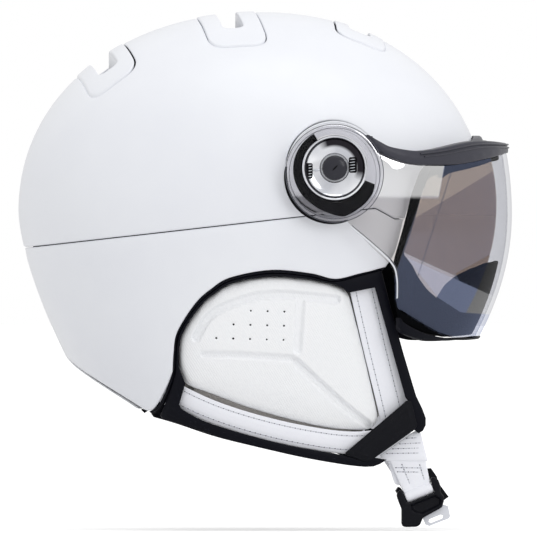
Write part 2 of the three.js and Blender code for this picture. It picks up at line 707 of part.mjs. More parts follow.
function makePivots() {
  const { in: inner, out: outer } = PIVOT_BASE;
  for (const [side, word] of SIDES) {
    const on = (profile, segments) => turned(PIVOT.x, PIVOT.z, side, profile, segments);
    const hub = 112.2;
    const seat = [[3.4, inner], [PIVOT_BASE_R, inner], [PIVOT_BASE_R, outer], [7.9, outer]];
    addMesh(`pivot_base_${word}`, on([...seat, [7.9, hub], [3.4, hub]], 24), "shell_white");
    const washer = [[12, 109.9], [26.6, 109.9], [26, 111.3], [12, 111.3]];
    addMesh(`pivot_washer_${word}`, on(washer, 24), "black_rubber");
    const cover = [[19.2, 111.8], [27.2, 111.8], [28.2, 110], [29.4, 110], [28.8, 112.8], [19.6, 116.6]];
    addMesh(`pivot_cover_${word}`, on(cover, 32), "clear_plastic");
    const dial = [[8.4, 111.8], [18.6, 111.8], [18.6, 116.4], [16.6, 114.6], [8.4, 113.2]];
    addMesh(`pivot_dial_${word}`, on(dial, 28).subtract(dialWindows(side)), "chrome");
    const screw = [[0, 97], [3, 97], [3, 112.8], [7.2, 112.8], [7.2, 117.4], [0, 118.6]];
    addMesh(`pivot_screw_${word}`, on(screw, 18), "black_plastic");
  }
}

// Two windows in the dial, ahead of and behind the screw.
function dialWindows(side) {
  const windowAt = (x, z) => box(PIVOT.x + x - 1.6, PIVOT.x + x + 1.6, Math.min(side * 108, side * 120),
    Math.max(side * 108, side * 120), PIVOT.z + z - 4, PIVOT.z + z + 4);
  return windowAt(-14, -1.6).add(windowAt(10.6, 2));
}

// ---------------------------------------------------------------- ear flaps

const FLAP = { out: 1.5, in: 4.2 };
const REAR_STRAP = { out: 5.4, in: 7, width: 13 };
const FRONT_STRAP = { out: 7.6, in: 9.2, width: 16.6 };
const PAD = { out: 2.6, in: 20 };
const KEEPER = [[42.4, 42.8], [78, 72.2], [82.4, 58.8], [55.4, 39.4]];

// The ear edge's curve drawn in towards the middle of the flap, starting from one of its points.
const FLAP_MIDDLE = [5, 100];
const drawnIn = (distance, from) => EAR_EDGE.slice(from, -1).map(([x, z]) => {
  const dx = x - FLAP_MIDDLE[0];
  const dz = z - FLAP_MIDDLE[1];
  const length = Math.hypot(dx, dz);
  return [x - (distance * dx) / length, z - (distance * dz) / length];
});
const FLAP_ARCH = drawnIn(2, 0);
const ARCH_INNER = [...drawnIn(3.7, 2), [-53, 92]];

function flapOutline() {
  const outer = [...smooth(FLAP_ARCH, 20), [-55.2, 90], [-58.4, 79], [-63.4, 64.4]];
  outer.push([-48.8, 58.8], [-25.9, 51.2], [-2.9, 45.4], [19.9, 40.3], [43, 36.3], [54.5, 35.1]);
  outer.push([62.3, 36.3], [66.4, 39.4], [59, 40.6], [55.2, 38.6], [41.6, 41.9]);
  const inner = [[26.9, 44.6], [8.6, 48], [-14.3, 53.8], [-38.7, 61.6], [-53, 69.9], [-49.6, 83.2]];
  inner.push(...smooth(ARCH_INNER, 13).reverse(), [39, 138.9], [44, 135.4], [59.2, 138.4]);
  inner.push([68.8, 105], [77.4, 75.4], [78.8, 73.4], [83.2, 59.4], [84.4, 56.8]);
  inner.push([88.4, 60], [88.2, 64], [83.6, 76], [76.2, 100.5], [69.3, 124.5], [63.2, 147.6]);
  return [...outer, ...inner];
}

// |y| of the flaps' outer surface. It carries on from the shell's edge but curves less towards the face.
function flapY(x, z, inset = 0) {
  const drop = Math.min(1, Math.max(0, (150 - z) / 80));
  return shellY(x > 40 ? x - 0.4 * drop * (x - 40) : x, z, inset);
}

const earFace = (side, inset) => (x, z) => side * flapY(x, z, inset);

function earPlate(side, outline, out, into, holes = []) {
  const faceOut = earFace(side, out);
  const faceIn = earFace(side, into);
  return plateOn(outline, faceOut, faceIn, holes);
}

// A padded or flat piece filling an outline in the side view, in rings out from its centre.
function cushion(side, outline, centre, steps, out, into, crown) {
  const rings = outline.map(([x, z]) => {
    const at = (share, inset) => {
      const px = centre[0] + (x - centre[0]) * share;
      const pz = centre[1] + (z - centre[1]) * share;
      return new THREE.Vector3(px, side * flapY(px, pz, inset), pz);
    };
    const shares = Array.from({ length: steps + 1 }, (_, k) => k / steps);
    const outer = shares.map((share) => at(share, out + crown * share ** 4));
    const inner = shares.map((share) => at(share, into)).reverse();
    return [...outer, ...inner];
  });
  return loft(rings, true);
}

const PAD_OUTLINE = () => [
  ...smooth([...drawnIn(5.6, 2), [-51.5, 91], [-49.4, 85.6]], 16),
  ...smooth([[-44, 81], [-34, 77.2], [-14.3, 69.6], [8.6, 63.2], [31.5, 58.6], [46, 57.4]], 6),
  [57, 57.6], [61.4, 61.8], [51, 104], [42.6, 134.4], [38.6, 138],
];
const LINING_OUTLINE = () => [
  ...smooth(drawnIn(6.3, 2), 11),
  [-46, 78], [-30, 66], [-5, 57], [25, 50], [46, 50], [62, 62], [68, 74], [66, 100], [58, 134],
];

// A flat strap along a line in the side view.
function strap(side, line, width, out, into) {
  const rings = line.map(([x, z], i) => {
    const [x0, z0] = line[Math.max(0, i - 1)];
    const [x1, z1] = line[Math.min(line.length - 1, i + 1)];
    const length = Math.hypot(x1 - x0, z1 - z0);
    const nx = (-(z1 - z0) / length) * (width / 2);
    const nz = ((x1 - x0) / length) * (width / 2);
    const at = (share, inset) => {
      const px = x + nx * share;
      const pz = z + nz * share;
      return new THREE.Vector3(px, side * flapY(px, pz, inset), pz);
    };
    return [at(-1, out), at(0, out), at(1, out), at(1, into), at(0, into), at(-1, into)];
  });
  return loft(rings);
}

const RIVETS = [
  { name: "front", x: 54, z: 142, strapIn: FRONT_STRAP.in },
  { name: "rear", x: -55.2, z: 77.5, strapIn: REAR_STRAP.in },
];
const FRONT_LINE = [[52, 146], [53, 138], [60.6, 106], [68.3, 76], [71.2, 64], [72.6, 57]];
const REAR_LINE = [[-58.5, 79.5], [-50.5, 74.5], [-34, 67], [-14.3, 60.4], [8.3, 54.6], [31.5, 50.4],
  [48, 49], [62, 50]];

function rivetHole(side, rivet) {
  return turned(rivet.x, rivet.z, side, [[0, 60], [1.9, 60], [1.9, 120], [0, 120]], 12);
}

function makeFlap(side, word) {
  const frontLine = smooth(FRONT_LINE, 8);
  const rearLine = smooth(REAR_LINE, 10);
  let frame = earPlate(side, flapOutline(), FLAP.out, FLAP.in);
  let front = strap(side, frontLine, FRONT_STRAP.width, FRONT_STRAP.out, FRONT_STRAP.in);
  let rear = strap(side, rearLine, REAR_STRAP.width, REAR_STRAP.out, REAR_STRAP.in);
  for (const rivet of RIVETS) {
    const hole = rivetHole(side, rivet);
    frame = frame.subtract(hole);
    front = front.subtract(hole);
    rear = rear.subtract(hole);
    const y = (inset) => flapY(rivet.x, rivet.z, inset);
    const inner = y(rivet.strapIn + 2.8);
    const head = [[0, inner], [3.2, inner], [3.2, inner + 0.9], [1.4, inner + 0.9]];
    const profile = [...head, [1.4, y(2.4)], [0, y(2.4)]];
    addMesh(`strap_rivet_${rivet.name}_${word}`, turned(rivet.x, rivet.z, side, profile, 10), "steel");
  }
  addMesh(`flap_frame_${word}`, frame, "black_rubber");
  addMesh(`flap_front_strap_${word}`, front, "leather_white");
  addMesh(`flap_rear_strap_${word}`, rear, "leather_white");
  addMesh(`ear_pad_${word}`, cushion(side, PAD_OUTLINE(), [0, 100], 3, PAD.out, PAD.in, 3), "leather_white");
  const lining = cushion(side, LINING_OUTLINE(), [5, 98], 2, PAD.in + 1.4, PAD.in + 3, 0);
  addMesh(`ear_lining_${word}`, lining, "lining_grey");
  const [a, b, c, d] = KEEPER;
  const between = (p, q, t) => [p[0] + (q[0] - p[0]) * t, p[1] + (q[1] - p[1]) * t];
  const thirds = (p, q) => [p, between(p, q, 1 / 3), between(p, q, 2 / 3)];
  const outline = [...thirds(a, b), b, ...thirds(c, d), d];
  addMesh(`divider_cover_${word}`, earPlate(side, outline, 0.6, 4.2), "black_plastic");
}

// ---------------------------------------------------------------- chin strap

const HINGE = { x: 75, z: 54, y: 66.4 }; // middle of the line on which the chin strap folds
const LADDER = { x: 85.75, z: 20.5, tilt: 22 }; // the buckle's bar, and the degrees it leans out of level
const LEFT_HANG = 10; // degrees that the left strap hangs further forward than the right one

// Turns a chin-strap piece on the wearer's left forward about the hinge.
function hang(side, solid) {
  if (side === RIGHT) return solid;
  return solid.translate([-HINGE.x, 0, -HINGE.z]).rotate([0, -LEFT_HANG, 0]).translate([HINGE.x, 0, HINGE.z]);
}

const span = (side, from, to) => {
  const a = side * (HINGE.y + from);
  const b = side * (HINGE.y + to);
  return [Math.min(a, b), Math.max(a, b)];
};

function makeChinStrap(side, word) {
  const layer = (outline, from, to) => prismXZ(outline, ...span(side, from, to));
  const patchEdge = [[62.8, 41.4], [66.8, 38.2], [91, 38.2], [87, 54.6], [84.4, 56.2], [82, 54.8]];
  const patch = layer(patchEdge, -0.9, 0.9);
  const band = layer([[67.9, 41], [89.7, 39], [92.3, 26.1], [77.1, 19.9]], -0.7, 0.7);
  const loop = placeBuckle(strapLoop(side));
  addMesh(`chin_strap_${word}`, hang(side, patch.add(band).add(loop)), "leather_white");
  const tail = [[67.2, 37], [74, 37.5], [77.2, 27.6], [76.2, 24.9], [73.4, 24.4], [71.2, 25.6]];
  addMesh(`chin_strap_tail_${word}`, hang(side, layer(tail, -2.9, -1.3)), "leather_white");
}

// The stitched loop that holds the buckle's bar, in the buckle's own frame.
function strapLoop(side) {
  const half = 8.2;
  const profile = [[2, -half], [3.4, -half], [3.4, half], [2, half], [2, -half]];
  const geometry = new THREE.LatheGeometry(profile.map(([r, u]) => new THREE.Vector2(r, u)), 16);
  geometry.rotateZ(-Math.PI / 2);
  geometry.translate(0, side * HINGE.y, 0);
  return solidOf(geometry);
}

// Places a solid made in the buckle's own frame: u along the bar, v up towards the strap.
function placeBuckle(solid) {
  return solid.rotate([0, -LADDER.tilt, 0]).translate([LADDER.x, 0, LADDER.z]);
}

// The adjuster shared by both ends: two horns beside the strap and a round bar between them.
function adjuster(side, body, thickness) {
  const bar = new THREE.CylinderGeometry(1.5, 1.5, 21, 12);
  bar.rotateZ(Math.PI / 2);
  bar.translate(0, side * HINGE.y, 0);
  return prismXZ(body, ...span(side, -thickness / 2, thickness / 2)).add(solidOf(bar));
}

// The two horns, from the rear one's root round to the front one's.
const HORNS = [[-12.2, -3.6], [-12.2, 3.8], [-9.6, 4.9], [-8.8, 3.8], [-8.6, -3.8], [8.6, -3.8], [8.9, 4.2],
  [9.8, 5.2], [12.3, 4], [12.6, -2], [11.4, -5]];

function makeRightBuckle() {
  const lobe = [[-4.2, -15.6], [-7.2, -17.8], [-14.6, -16.2], [-16.2, -13.6]];
  const body = [...HORNS, [12.4, -8.6], [8.8, -14.6], ...lobe];
  const slot = box(-4.2, 16, ...span(RIGHT, -1.3, 1.3), -22, -9.2);
  addMesh("adjuster_right", placeBuckle(adjuster(RIGHT, body, 8).subtract(slot)), "black_plastic");
  const plate = [[-3.4, -10], [8, -10], [12.6, -13.8], [11.6, -19.6], [10.4, -20.6], [-1.6, -20.4],
    [-3.4, -18.8]];
  const catchHole = [[-0.2, -16.8], [7, -16.8], [8, -18], [7, -19.2], [-0.2, -19.2], [-1.2, -18]];
  addMesh("latch_tongue", placeBuckle(prismXZ(plate, ...span(RIGHT, -0.9, 0.9), [catchHole])), "steel");
}

function makeLeftBuckle() {
  const body = [...HORNS, [12.2, -15.6], [4, -16.1], [-11.4, -13.8], [-13, -9.2]];
  const mouth = box(-6.6, 6.6, ...span(LEFT, -1.5, 1.5), -22, -7);
  const well = box(-4.4, 4.4, ...span(LEFT, 1, 6), -12.6, -6.8);
  const housing = adjuster(LEFT, body, 9.6).subtract(mouth).subtract(well);
  addMesh("buckle_housing_left", hang(LEFT, placeBuckle(housing)), "black_plastic");
  const button = box(-4, 4, ...span(LEFT, 3.3, 5.7), -12.2, -7.2);
  addMesh("release_button", hang(LEFT, placeBuckle(button)), "trim_rubber");
}

// ---------------------------------------------------------------- the assembly

makeShells();
VENTS.forEach(makeVent);
makeLiner();
makeBrowGasket();
makeFitSystem();
makeLens();
makePivots();
for (const [side, word] of SIDES) {
  makeFlap(side, word);
  makeChinStrap(side, word);
}
makeRightBuckle();
makeLeftBuckle();

export default helmet;
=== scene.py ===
"""The looks of a white ski helmet with a flip-up visor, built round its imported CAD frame.

Shapes are worked out in millimetres in the frame's axes (+X forward, +Y the wearer's left, +Z up) and
stored in metres. The wearer's right is side -1 and the left is side +1."""

import json
import math

import bmesh
import bpy
import numpy as np
from mathutils import Matrix, Vector
from mathutils.geometry import delaunay_2d_cdt


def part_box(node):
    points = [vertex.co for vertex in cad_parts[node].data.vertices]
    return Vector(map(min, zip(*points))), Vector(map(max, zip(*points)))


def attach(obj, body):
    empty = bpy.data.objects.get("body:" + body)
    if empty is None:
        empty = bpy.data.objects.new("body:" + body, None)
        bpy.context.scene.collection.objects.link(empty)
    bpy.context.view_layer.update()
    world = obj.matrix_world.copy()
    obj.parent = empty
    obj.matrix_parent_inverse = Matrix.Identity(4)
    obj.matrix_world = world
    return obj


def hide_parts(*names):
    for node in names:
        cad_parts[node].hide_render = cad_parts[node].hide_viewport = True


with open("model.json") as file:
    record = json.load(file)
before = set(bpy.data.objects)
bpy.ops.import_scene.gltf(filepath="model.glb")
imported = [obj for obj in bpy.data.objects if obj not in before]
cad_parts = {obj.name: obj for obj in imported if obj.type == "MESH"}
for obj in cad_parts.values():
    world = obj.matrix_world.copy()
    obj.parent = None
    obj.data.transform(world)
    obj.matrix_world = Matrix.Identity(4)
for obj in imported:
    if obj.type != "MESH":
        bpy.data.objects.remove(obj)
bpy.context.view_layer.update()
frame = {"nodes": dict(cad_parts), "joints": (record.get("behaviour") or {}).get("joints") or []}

MM = 0.001
RIGHT, LEFT = -1, 1
SIDES = ((RIGHT, "right"), (LEFT, "left"))
JOINTS = {joint["name"]: joint for joint in frame["joints"]}


def joint_place(name):
    return [value / MM for value in JOINTS[name]["pos_m"]]


# ---------------------------------------------------------------- driving dimensions, as in the CAD

SHELL_X, SHELL_Z = -2.0, 182.0
FRONT, REAR, HALF, RISE = 130.0, 141.0, 106.0, 116.0
PLAN_POWER, SIDE_POWER = 2.3, 2.1
SIDE_TAPER, REAR_TAPER = 0.00011, 0.000255
SKIN = 2.6
PIVOT_X, _, PIVOT_Z = joint_place("visor_lift")
LENS_FRONT, LENS_SIDE, LENS_FLAT, LENS_WAIST, LENS_THICK = 145.0, 118.0, 109.5, 181.0, 2.5
DISC_R = 29.5
LID_R, LID_DROP = 28.3, 3.1
BUCKLE_X, _, BUCKLE_Z = joint_place("tongue_right_swing")
BUCKLE_TILT = math.atan2(JOINTS["tongue_right_swing"]["axis"][2], JOINTS["tongue_right_swing"]["axis"][0])
HINGE_X, STRAP_Y, HINGE_Z = joint_place("strap_left_fold")
LEFT_TILT = math.atan2(JOINTS["buckle_left_swing"]["axis"][2], JOINTS["buckle_left_swing"]["axis"][0])
LEFT_HANG = LEFT_TILT - BUCKLE_TILT  # how much further forward the left strap hangs
LEFT_TAIL_TUCK = 3.0  # keeps the left tail out of sight behind the right strap

FACE_EDGE = [(120.2, 225), (112, 216.5), (93, 204.5), (82, 190.8), (75.3, 173.8), (71, 158.9), (65.6, 150.2)]
EAR_EDGE = [(65.6, 150.2), (50, 146.3), (36.2, 143.4), (21.7, 146.6), (-1, 148.5), (-24.5, 144.2),
            (-36, 137.4), (-45, 129), (-55, 113), (-57, 101), (-57.5, 90)]
NAPE_EDGE = [(-57.5, 90), (-61, 81), (-66.5, 70.5), (-71, 67.5), (-78, 71.5), (-108, 91), (-119, 103)]


# ---------------------------------------------------------------- the shell's surface

def section(z, inset):
    """Half-lengths forward, rearward and sideways at height z."""
    up = np.clip((z - SHELL_Z) / (RISE - inset), 0, 1)
    s = (1 - up ** SIDE_POWER) ** (1 / SIDE_POWER)
    drop = np.maximum(SHELL_Z - z, 0) ** 1.5
    side = 1 - SIDE_TAPER * drop
    rear = 1 - REAR_TAPER * drop
    above = z >= SHELL_Z
    return (np.where(above, (FRONT - inset) * s, FRONT * side - inset),
            np.where(above, (REAR - inset) * s, REAR * rear - inset),
            np.where(above, (HALF - inset) * s, HALF * side - inset))


def shell_y(x, z, inset=0.0):
    front, rear, half = section(z, inset)
    along = np.minimum(np.abs(x - SHELL_X) / np.maximum(np.where(x > SHELL_X, front, rear), 1e-6), 1)
    return half * (1 - along ** PLAN_POWER) ** (1 / PLAN_POWER)


def shell_top(x, y, inset=0.0):
    length = np.where(x > SHELL_X, FRONT, REAR) - inset
    a = (np.abs(x - SHELL_X) / length) ** PLAN_POWER
    b = (np.abs(y) / (HALF - inset)) ** PLAN_POWER
    s = np.minimum((a + b) ** (1 / PLAN_POWER), 1)
    return SHELL_Z + (RISE - inset) * (1 - s ** SIDE_POWER) ** (1 / SIDE_POWER)


def shell_point(angle, z, inset=0.0):
    front, rear, half = section(z, inset)
    c, s = np.cos(angle), np.sin(angle)
    a = (np.abs(c) / np.maximum(np.where(c > 0, front, rear), 1e-9)) ** PLAN_POWER
    b = (np.abs(s) / np.maximum(half, 1e-9)) ** PLAN_POWER
    r = (a + b) ** (-1 / PLAN_POWER)
    return np.stack([SHELL_X + r * c, r * s, z + 0 * r], -1)


QUARTER = math.pi / 2 * RISE


def unroll(point):
    """The dome's surface laid flat round its crown: distance run down from the crown, at the plan angle."""
    x, y, z = point
    up = min(1.0, (z - SHELL_Z) / RISE)
    run = RISE * math.acos(up) if up > 0 else QUARTER + SHELL_Z - z
    angle = math.atan2(y, x - SHELL_X)
    return run * math.cos(angle), run * math.sin(angle)


def roll(u, v, inset):
    run = np.hypot(u, v)
    top = SHELL_Z + (RISE - inset) * np.cos(np.minimum(run / RISE, math.pi / 2))
    z = np.where(run < QUARTER, top, SHELL_Z - (run - QUARTER))
    return shell_point(np.arctan2(v, u), z, inset)


def flap_y(x, z, inset=0.0):
    drop = np.clip((150 - z) / 80, 0, 1)
    return shell_y(np.where(x > 40, x - 0.4 * drop * (x - 40), x), z, inset)


# ---------------------------------------------------------------- the lens's surface

def lens_front(z):
    return LENS_FRONT - (z - LENS_WAIST) ** 2 / np.where(z > LENS_WAIST, 400, 266)


def lens_y(x, z, inset=0.0):
    a = lens_front(z) - inset
    b = LENS_SIDE * (0.5 + 0.5 * lens_front(z) / LENS_FRONT) - inset
    wrap = b * (1 - np.minimum(np.abs(x - SHELL_X) / a, 1) ** 2.3) ** (1 / 2.3)
    flat = LENS_FLAT - inset
    h = np.maximum(6 - np.abs(wrap - flat), 0) / 6
    return np.minimum(wrap, flat) - h * h * 6 / 4


LENS_UNROLL = 110.0  # millimetres of flat width for each radian round the lens


def lens_flat(x, z, side, inset=0.0):
    """A side-view point of the lens, or of a layer under it, laid flat round the shell's vertical axis."""
    return side * LENS_UNROLL * math.atan2(float(lens_y(x, z, inset)), x - SHELL_X), z


def lens_roll(u, z, inset):
    angle = np.abs(u) / LENS_UNROLL
    c, s = np.cos(angle), np.sin(angle)
    near, far = np.zeros_like(angle), np.full_like(angle, 200.0)
    for _ in range(36):
        r = (near + far) / 2
        inside = (r * c < lens_front(z) - inset) & (r * s < lens_y(SHELL_X + r * c, z, inset) + 1e-9)
        near = np.where(inside, r, near)
        far = np.where(inside, far, r)
    return np.stack([SHELL_X + near * c, np.sign(u) * near * s, z + 0 * near], -1)


# ---------------------------------------------------------------- curves and flat plates

def smooth(points, count):
    """Even steps along a Catmull-Rom curve through the points."""
    p = np.array([points[0], *points, points[-1]], float)
    dense = []
    for i in range(len(points) - 1):
        t = np.linspace(0, 1, 24, endpoint=False)[:, None]
        a, b, c, d = p[i], p[i + 1], p[i + 2], p[i + 3]
        dense.append(0.5 * ((2 * b) + (c - a) * t + (2 * a - 5 * b + 4 * c - d) * t ** 2
                            + (3 * b - a - 3 * c + d) * t ** 3))
    dense = np.vstack([*dense, p[-1:]])
    walk = np.concatenate([[0], np.cumsum(np.linalg.norm(np.diff(dense, axis=0), axis=1))])
    at = np.linspace(0, walk[-1], count + 1)
    return [tuple(float(np.interp(s, walk, dense[:, k])) for k in range(2)) for s in at]


def arc(cx, cy, r, start, end, count):
    """Points on an arc between two angles in degrees, both ends included."""
    angles = np.radians(np.linspace(start, end, count + 1))
    return [(cx + r * math.cos(t), cy + r * math.sin(t)) for t in angles]


def rounded(points, radius, steps=4):
    """The closed outline with each corner rounded off."""
    out = []
    n = len(points)
    for i in range(n):
        p = np.array(points[i], float)
        a = np.array(points[i - 1], float) - p
        b = np.array(points[(i + 1) % n], float) - p
        la, lb = np.linalg.norm(a), np.linalg.norm(b)
        cut = min(radius, la * 0.45, lb * 0.45)
        start, end = p + a / la * cut, p + b / lb * cut
        for t in np.linspace(0, 1, steps + 1):
            out.append(tuple((1 - t) ** 2 * start + 2 * t * (1 - t) * p + t * t * end))
    return out


def turns(count):
    """Even angles round a full turn, in radians."""
    return np.linspace(0, 2 * math.pi, count, endpoint=False)


def inside(points, loop):
    """Which of the points lie in the loop."""
    x, y = points[:, 0], points[:, 1]
    hit = np.zeros(len(points), bool)
    for (x0, y0), (x1, y1) in zip(loop, np.roll(loop, -1, axis=0)):
        if y0 == y1:
            continue
        crosses = (y0 > y) != (y1 > y)
        hit ^= crosses & (x < (x1 - x0) * (y - y0) / (y1 - y0) + x0)
    return hit


def split(loop, spacing):
    """The closed outline's points, with its long sides divided into steps of about the spacing."""
    out = []
    for p, q in zip(loop, loop[1:] + loop[:1]):
        p, q = np.array(p, float), np.array(q, float)
        count = max(1, int(math.ceil(np.linalg.norm(q - p) / spacing)))
        out += [p + (q - p) * k / count for k in range(count)]
    return np.array(out)


def turned_loop(loop, anticlockwise):
    area = np.sum(loop[:, 0] * np.roll(loop[:, 1], -1) - np.roll(loop[:, 0], -1) * loop[:, 1])
    return loop if (area > 0) == anticlockwise else loop[::-1]


def moved_in(loop, distance):
    """Each point of the loop moved to its left, which is towards the material."""
    ahead = np.roll(loop, -1, axis=0) - loop
    ahead /= np.maximum(np.linalg.norm(ahead, axis=1, keepdims=True), 1e-9)
    behind = np.roll(ahead, 1, axis=0)
    normal = np.stack([-(ahead + behind)[:, 1], (ahead + behind)[:, 0]], 1)
    normal /= np.maximum(np.linalg.norm(normal, axis=1, keepdims=True), 1e-9)
    return loop + normal * distance


def in_material(points, loops):
    """Which of the points lie in the first loop and outside the others."""
    keep = inside(points, loops[0])
    for loop in loops[1:]:
        keep &= ~inside(points, loop)
    return keep


GRID_START = (0.31, 0.27)  # keeps the grid's rows off the outline's straight sides
GRID_CLEARANCE = 0.55  # least distance from a grid point to the rim, in spacings


def grid_in(loops, spacing):
    """A square grid of points over the material, clear of its rim."""
    rim = np.vstack(loops)
    low, high = rim.min(0), rim.max(0)
    rows = [np.arange(low[k] + GRID_START[k], high[k], spacing) for k in range(2)]
    grid = np.stack(np.meshgrid(*rows, indexing="ij"), -1).reshape(-1, 2)
    grid = grid[in_material(grid, loops)]
    if len(grid):
        near = np.min(np.linalg.norm(grid[:, None] - rim[None], axis=2), axis=1)
        grid = grid[near > GRID_CLEARANCE * spacing]
    return grid


def distance_to_points(points, targets):
    """Each point's distance to the nearest target, worked out in blocks to save memory."""
    blocks = np.array_split(points, max(1, len(points) // 2000))
    return np.concatenate([np.min(np.linalg.norm(block[:, None] - targets[None], axis=2), axis=1)
                           for block in blocks])


def plate(outline, holes=(), spacing=4.0, thick=2.0, edge=0.6, steps=3):
    """A flat plate with rounded edges as rows of (u, v, depth), its faces, and each point's distance from
    the outline. Depth 0 is the outer face."""
    loops = [turned_loop(split(outline, spacing), True)]
    loops += [turned_loop(split(hole, spacing), False) for hole in holes]
    inner = [moved_in(loop, edge) for loop in loops]
    flat = np.vstack([*inner, grid_in(inner, spacing)])
    edges, start = [], 0
    for loop in inner:
        n = len(loop)
        edges += [(start + k, start + (k + 1) % n) for k in range(n)]
        start += n
    made = delaunay_2d_cdt([Vector(p) for p in flat], edges, [], 1, 1e-5)
    points = np.array([tuple(p) for p in made[0]])
    place = {old: new for new, olds in enumerate(made[3]) for old in olds}
    tris = np.array(made[2])
    tris = tris[in_material(points[tris].mean(axis=1), inner)]
    count = len(points)
    front = np.column_stack([points, np.zeros(count)])
    back = np.column_stack([points, np.full(count, thick)])
    rows = [front, back]
    faces = [tuple(t) for t in tris] + [tuple(int(i) + count for i in t[::-1]) for t in tris]
    total = 2 * count
    start = 0
    for outer, loop in zip(loops, inner):
        n = len(loop)
        rings = [[place[start + k] for k in range(n)]]
        for depth_from, sign in ((0, 1), (thick, -1)):
            order = range(1, steps + 1) if sign > 0 else range(steps, 0, -1)
            for j in order:
                t = math.pi / 2 * j / steps
                spot = loop + (outer - loop) * math.sin(t)
                depth = depth_from + sign * edge * (1 - math.cos(t))
                rows.append(np.column_stack([spot, np.full(n, depth)]))
                rings.append(list(range(total, total + n)))
                total += n
        rings.append([place[start + k] + count for k in range(n)])
        for a, b in zip(rings, rings[1:]):
            faces += [(a[k], b[k], b[(k + 1) % n], a[(k + 1) % n]) for k in range(n)]
        start += n
    uvd = np.vstack(rows)
    return uvd, faces, distance_to_points(uvd[:, :2], np.vstack(loops))


# ---------------------------------------------------------------- objects

def make(name, points, faces, material, body, slot, replaces=(), sharp=38):
    """A mesh piece from points in millimetres, riding on a body."""
    mesh = bpy.data.meshes.new(name)
    vertices = [tuple(p * MM) for p in np.asarray(points, float)]
    mesh.from_pydata(vertices, [], [list(map(int, face)) for face in faces])
    bm = bmesh.new()
    bm.from_mesh(mesh)
    bmesh.ops.remove_doubles(bm, verts=bm.verts, dist=1e-6)
    bmesh.ops.recalc_face_normals(bm, faces=bm.faces)
    bm.to_mesh(mesh)
    bm.free()
    mesh.shade_smooth()
    mesh.set_sharp_from_angle(angle=math.radians(sharp))
    piece = bpy.data.objects.new(name, mesh)
    bpy.context.scene.collection.objects.link(piece)
    mesh.materials.append(material)
    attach(piece, body)
    if replaces:
        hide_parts(*replaces)
    return piece


def loft(rings, closed=False):
    """Points and faces of a body through rings of equal length. Open rows get flat ends."""
    rings = [np.asarray(ring, float) for ring in rings]
    n = len(rings[0])
    faces = []
    spans = len(rings) if closed else len(rings) - 1
    for i in range(spans):
        a, b = i * n, (i + 1) % len(rings) * n
        faces += [(a + k, a + (k + 1) % n, b + (k + 1) % n, b + k) for k in range(n)]
    if not closed:
        faces += [tuple(range(n)), tuple(range((len(rings) - 1) * n, len(rings) * n))]
    return np.vstack(rings), faces


def zero(value):
    return 0.0


def lathe(x, z, side, profile, segments=96, drop=zero):
    """A turned body on an axis along y. The profile lists (radius, |y|) and closes on itself. The circle at
    each radius hangs lower by drop(radius)."""
    rings = []
    for k in range(segments):
        t = 2 * math.pi * k / segments
        rings.append([(x + r * math.cos(t), side * y, z - drop(r) + r * math.sin(t)) for r, y in profile])
    return loft(rings, closed=True)


def merged(parts):
    points, faces, total = [], [], 0
    for p, f in parts:
        p = np.asarray(p, float)
        points.append(p)
        faces += [tuple(i + total for i in face) for face in f]
        total += len(p)
    return np.vstack(points), faces


def bead(centre, along, across, length, width, height):
    """A stretched ball lying along a surface, such as a stitch."""
    along = np.array(along, float) / np.linalg.norm(along)
    out = np.cross(along, across)
    out /= np.linalg.norm(out)
    across = np.cross(out, along)
    rings = []
    for t in np.linspace(-1, 1, 7):
        r = math.sqrt(max(0.03, 1 - t * t))
        rings.append([centre + along * t * length / 2
                      + r * (across * math.cos(a) * width / 2 + out * math.sin(a) * height / 2)
                      for a in turns(8)])
    return loft(rings)


class Ribbon:
    """A line in the side view, with a width, laid on the flap's surface."""

    def __init__(self, points, surface):
        self.line = np.array(smooth(points, 200))
        step = np.linalg.norm(np.diff(self.line, axis=0), axis=1)
        self.walk = np.concatenate([[0], np.cumsum(step)])
        self.length = self.walk[-1]
        self.surface = surface

    def side_view(self, s, w):
        x = np.interp(s, self.walk, self.line[:, 0])
        z = np.interp(s, self.walk, self.line[:, 1])
        dx = np.interp(s + 1, self.walk, self.line[:, 0]) - np.interp(s - 1, self.walk, self.line[:, 0])
        dz = np.interp(s + 1, self.walk, self.line[:, 1]) - np.interp(s - 1, self.walk, self.line[:, 1])
        size = np.hypot(dx, dz)
        return x - dz / size * w, z + dx / size * w

    def at(self, s, w, inset, side):
        x, z = self.side_view(s, w)
        return np.stack([x, side * self.surface(x, z, inset), z], -1)


STITCH_STEP = 3.1
STRAP_CORNER = 2.0
STRAP_CROWN = 0.4
STRAP_EDGE = 0.42  # rounding of a strap's edge, as a share of its thickness
STRAP_END = 2.0  # bare length before the first stitch and after the last


def groove(distance, deep, width):
    """A soft groove's depth at a distance from its middle."""
    return deep * np.exp(-(distance / width) ** 2)


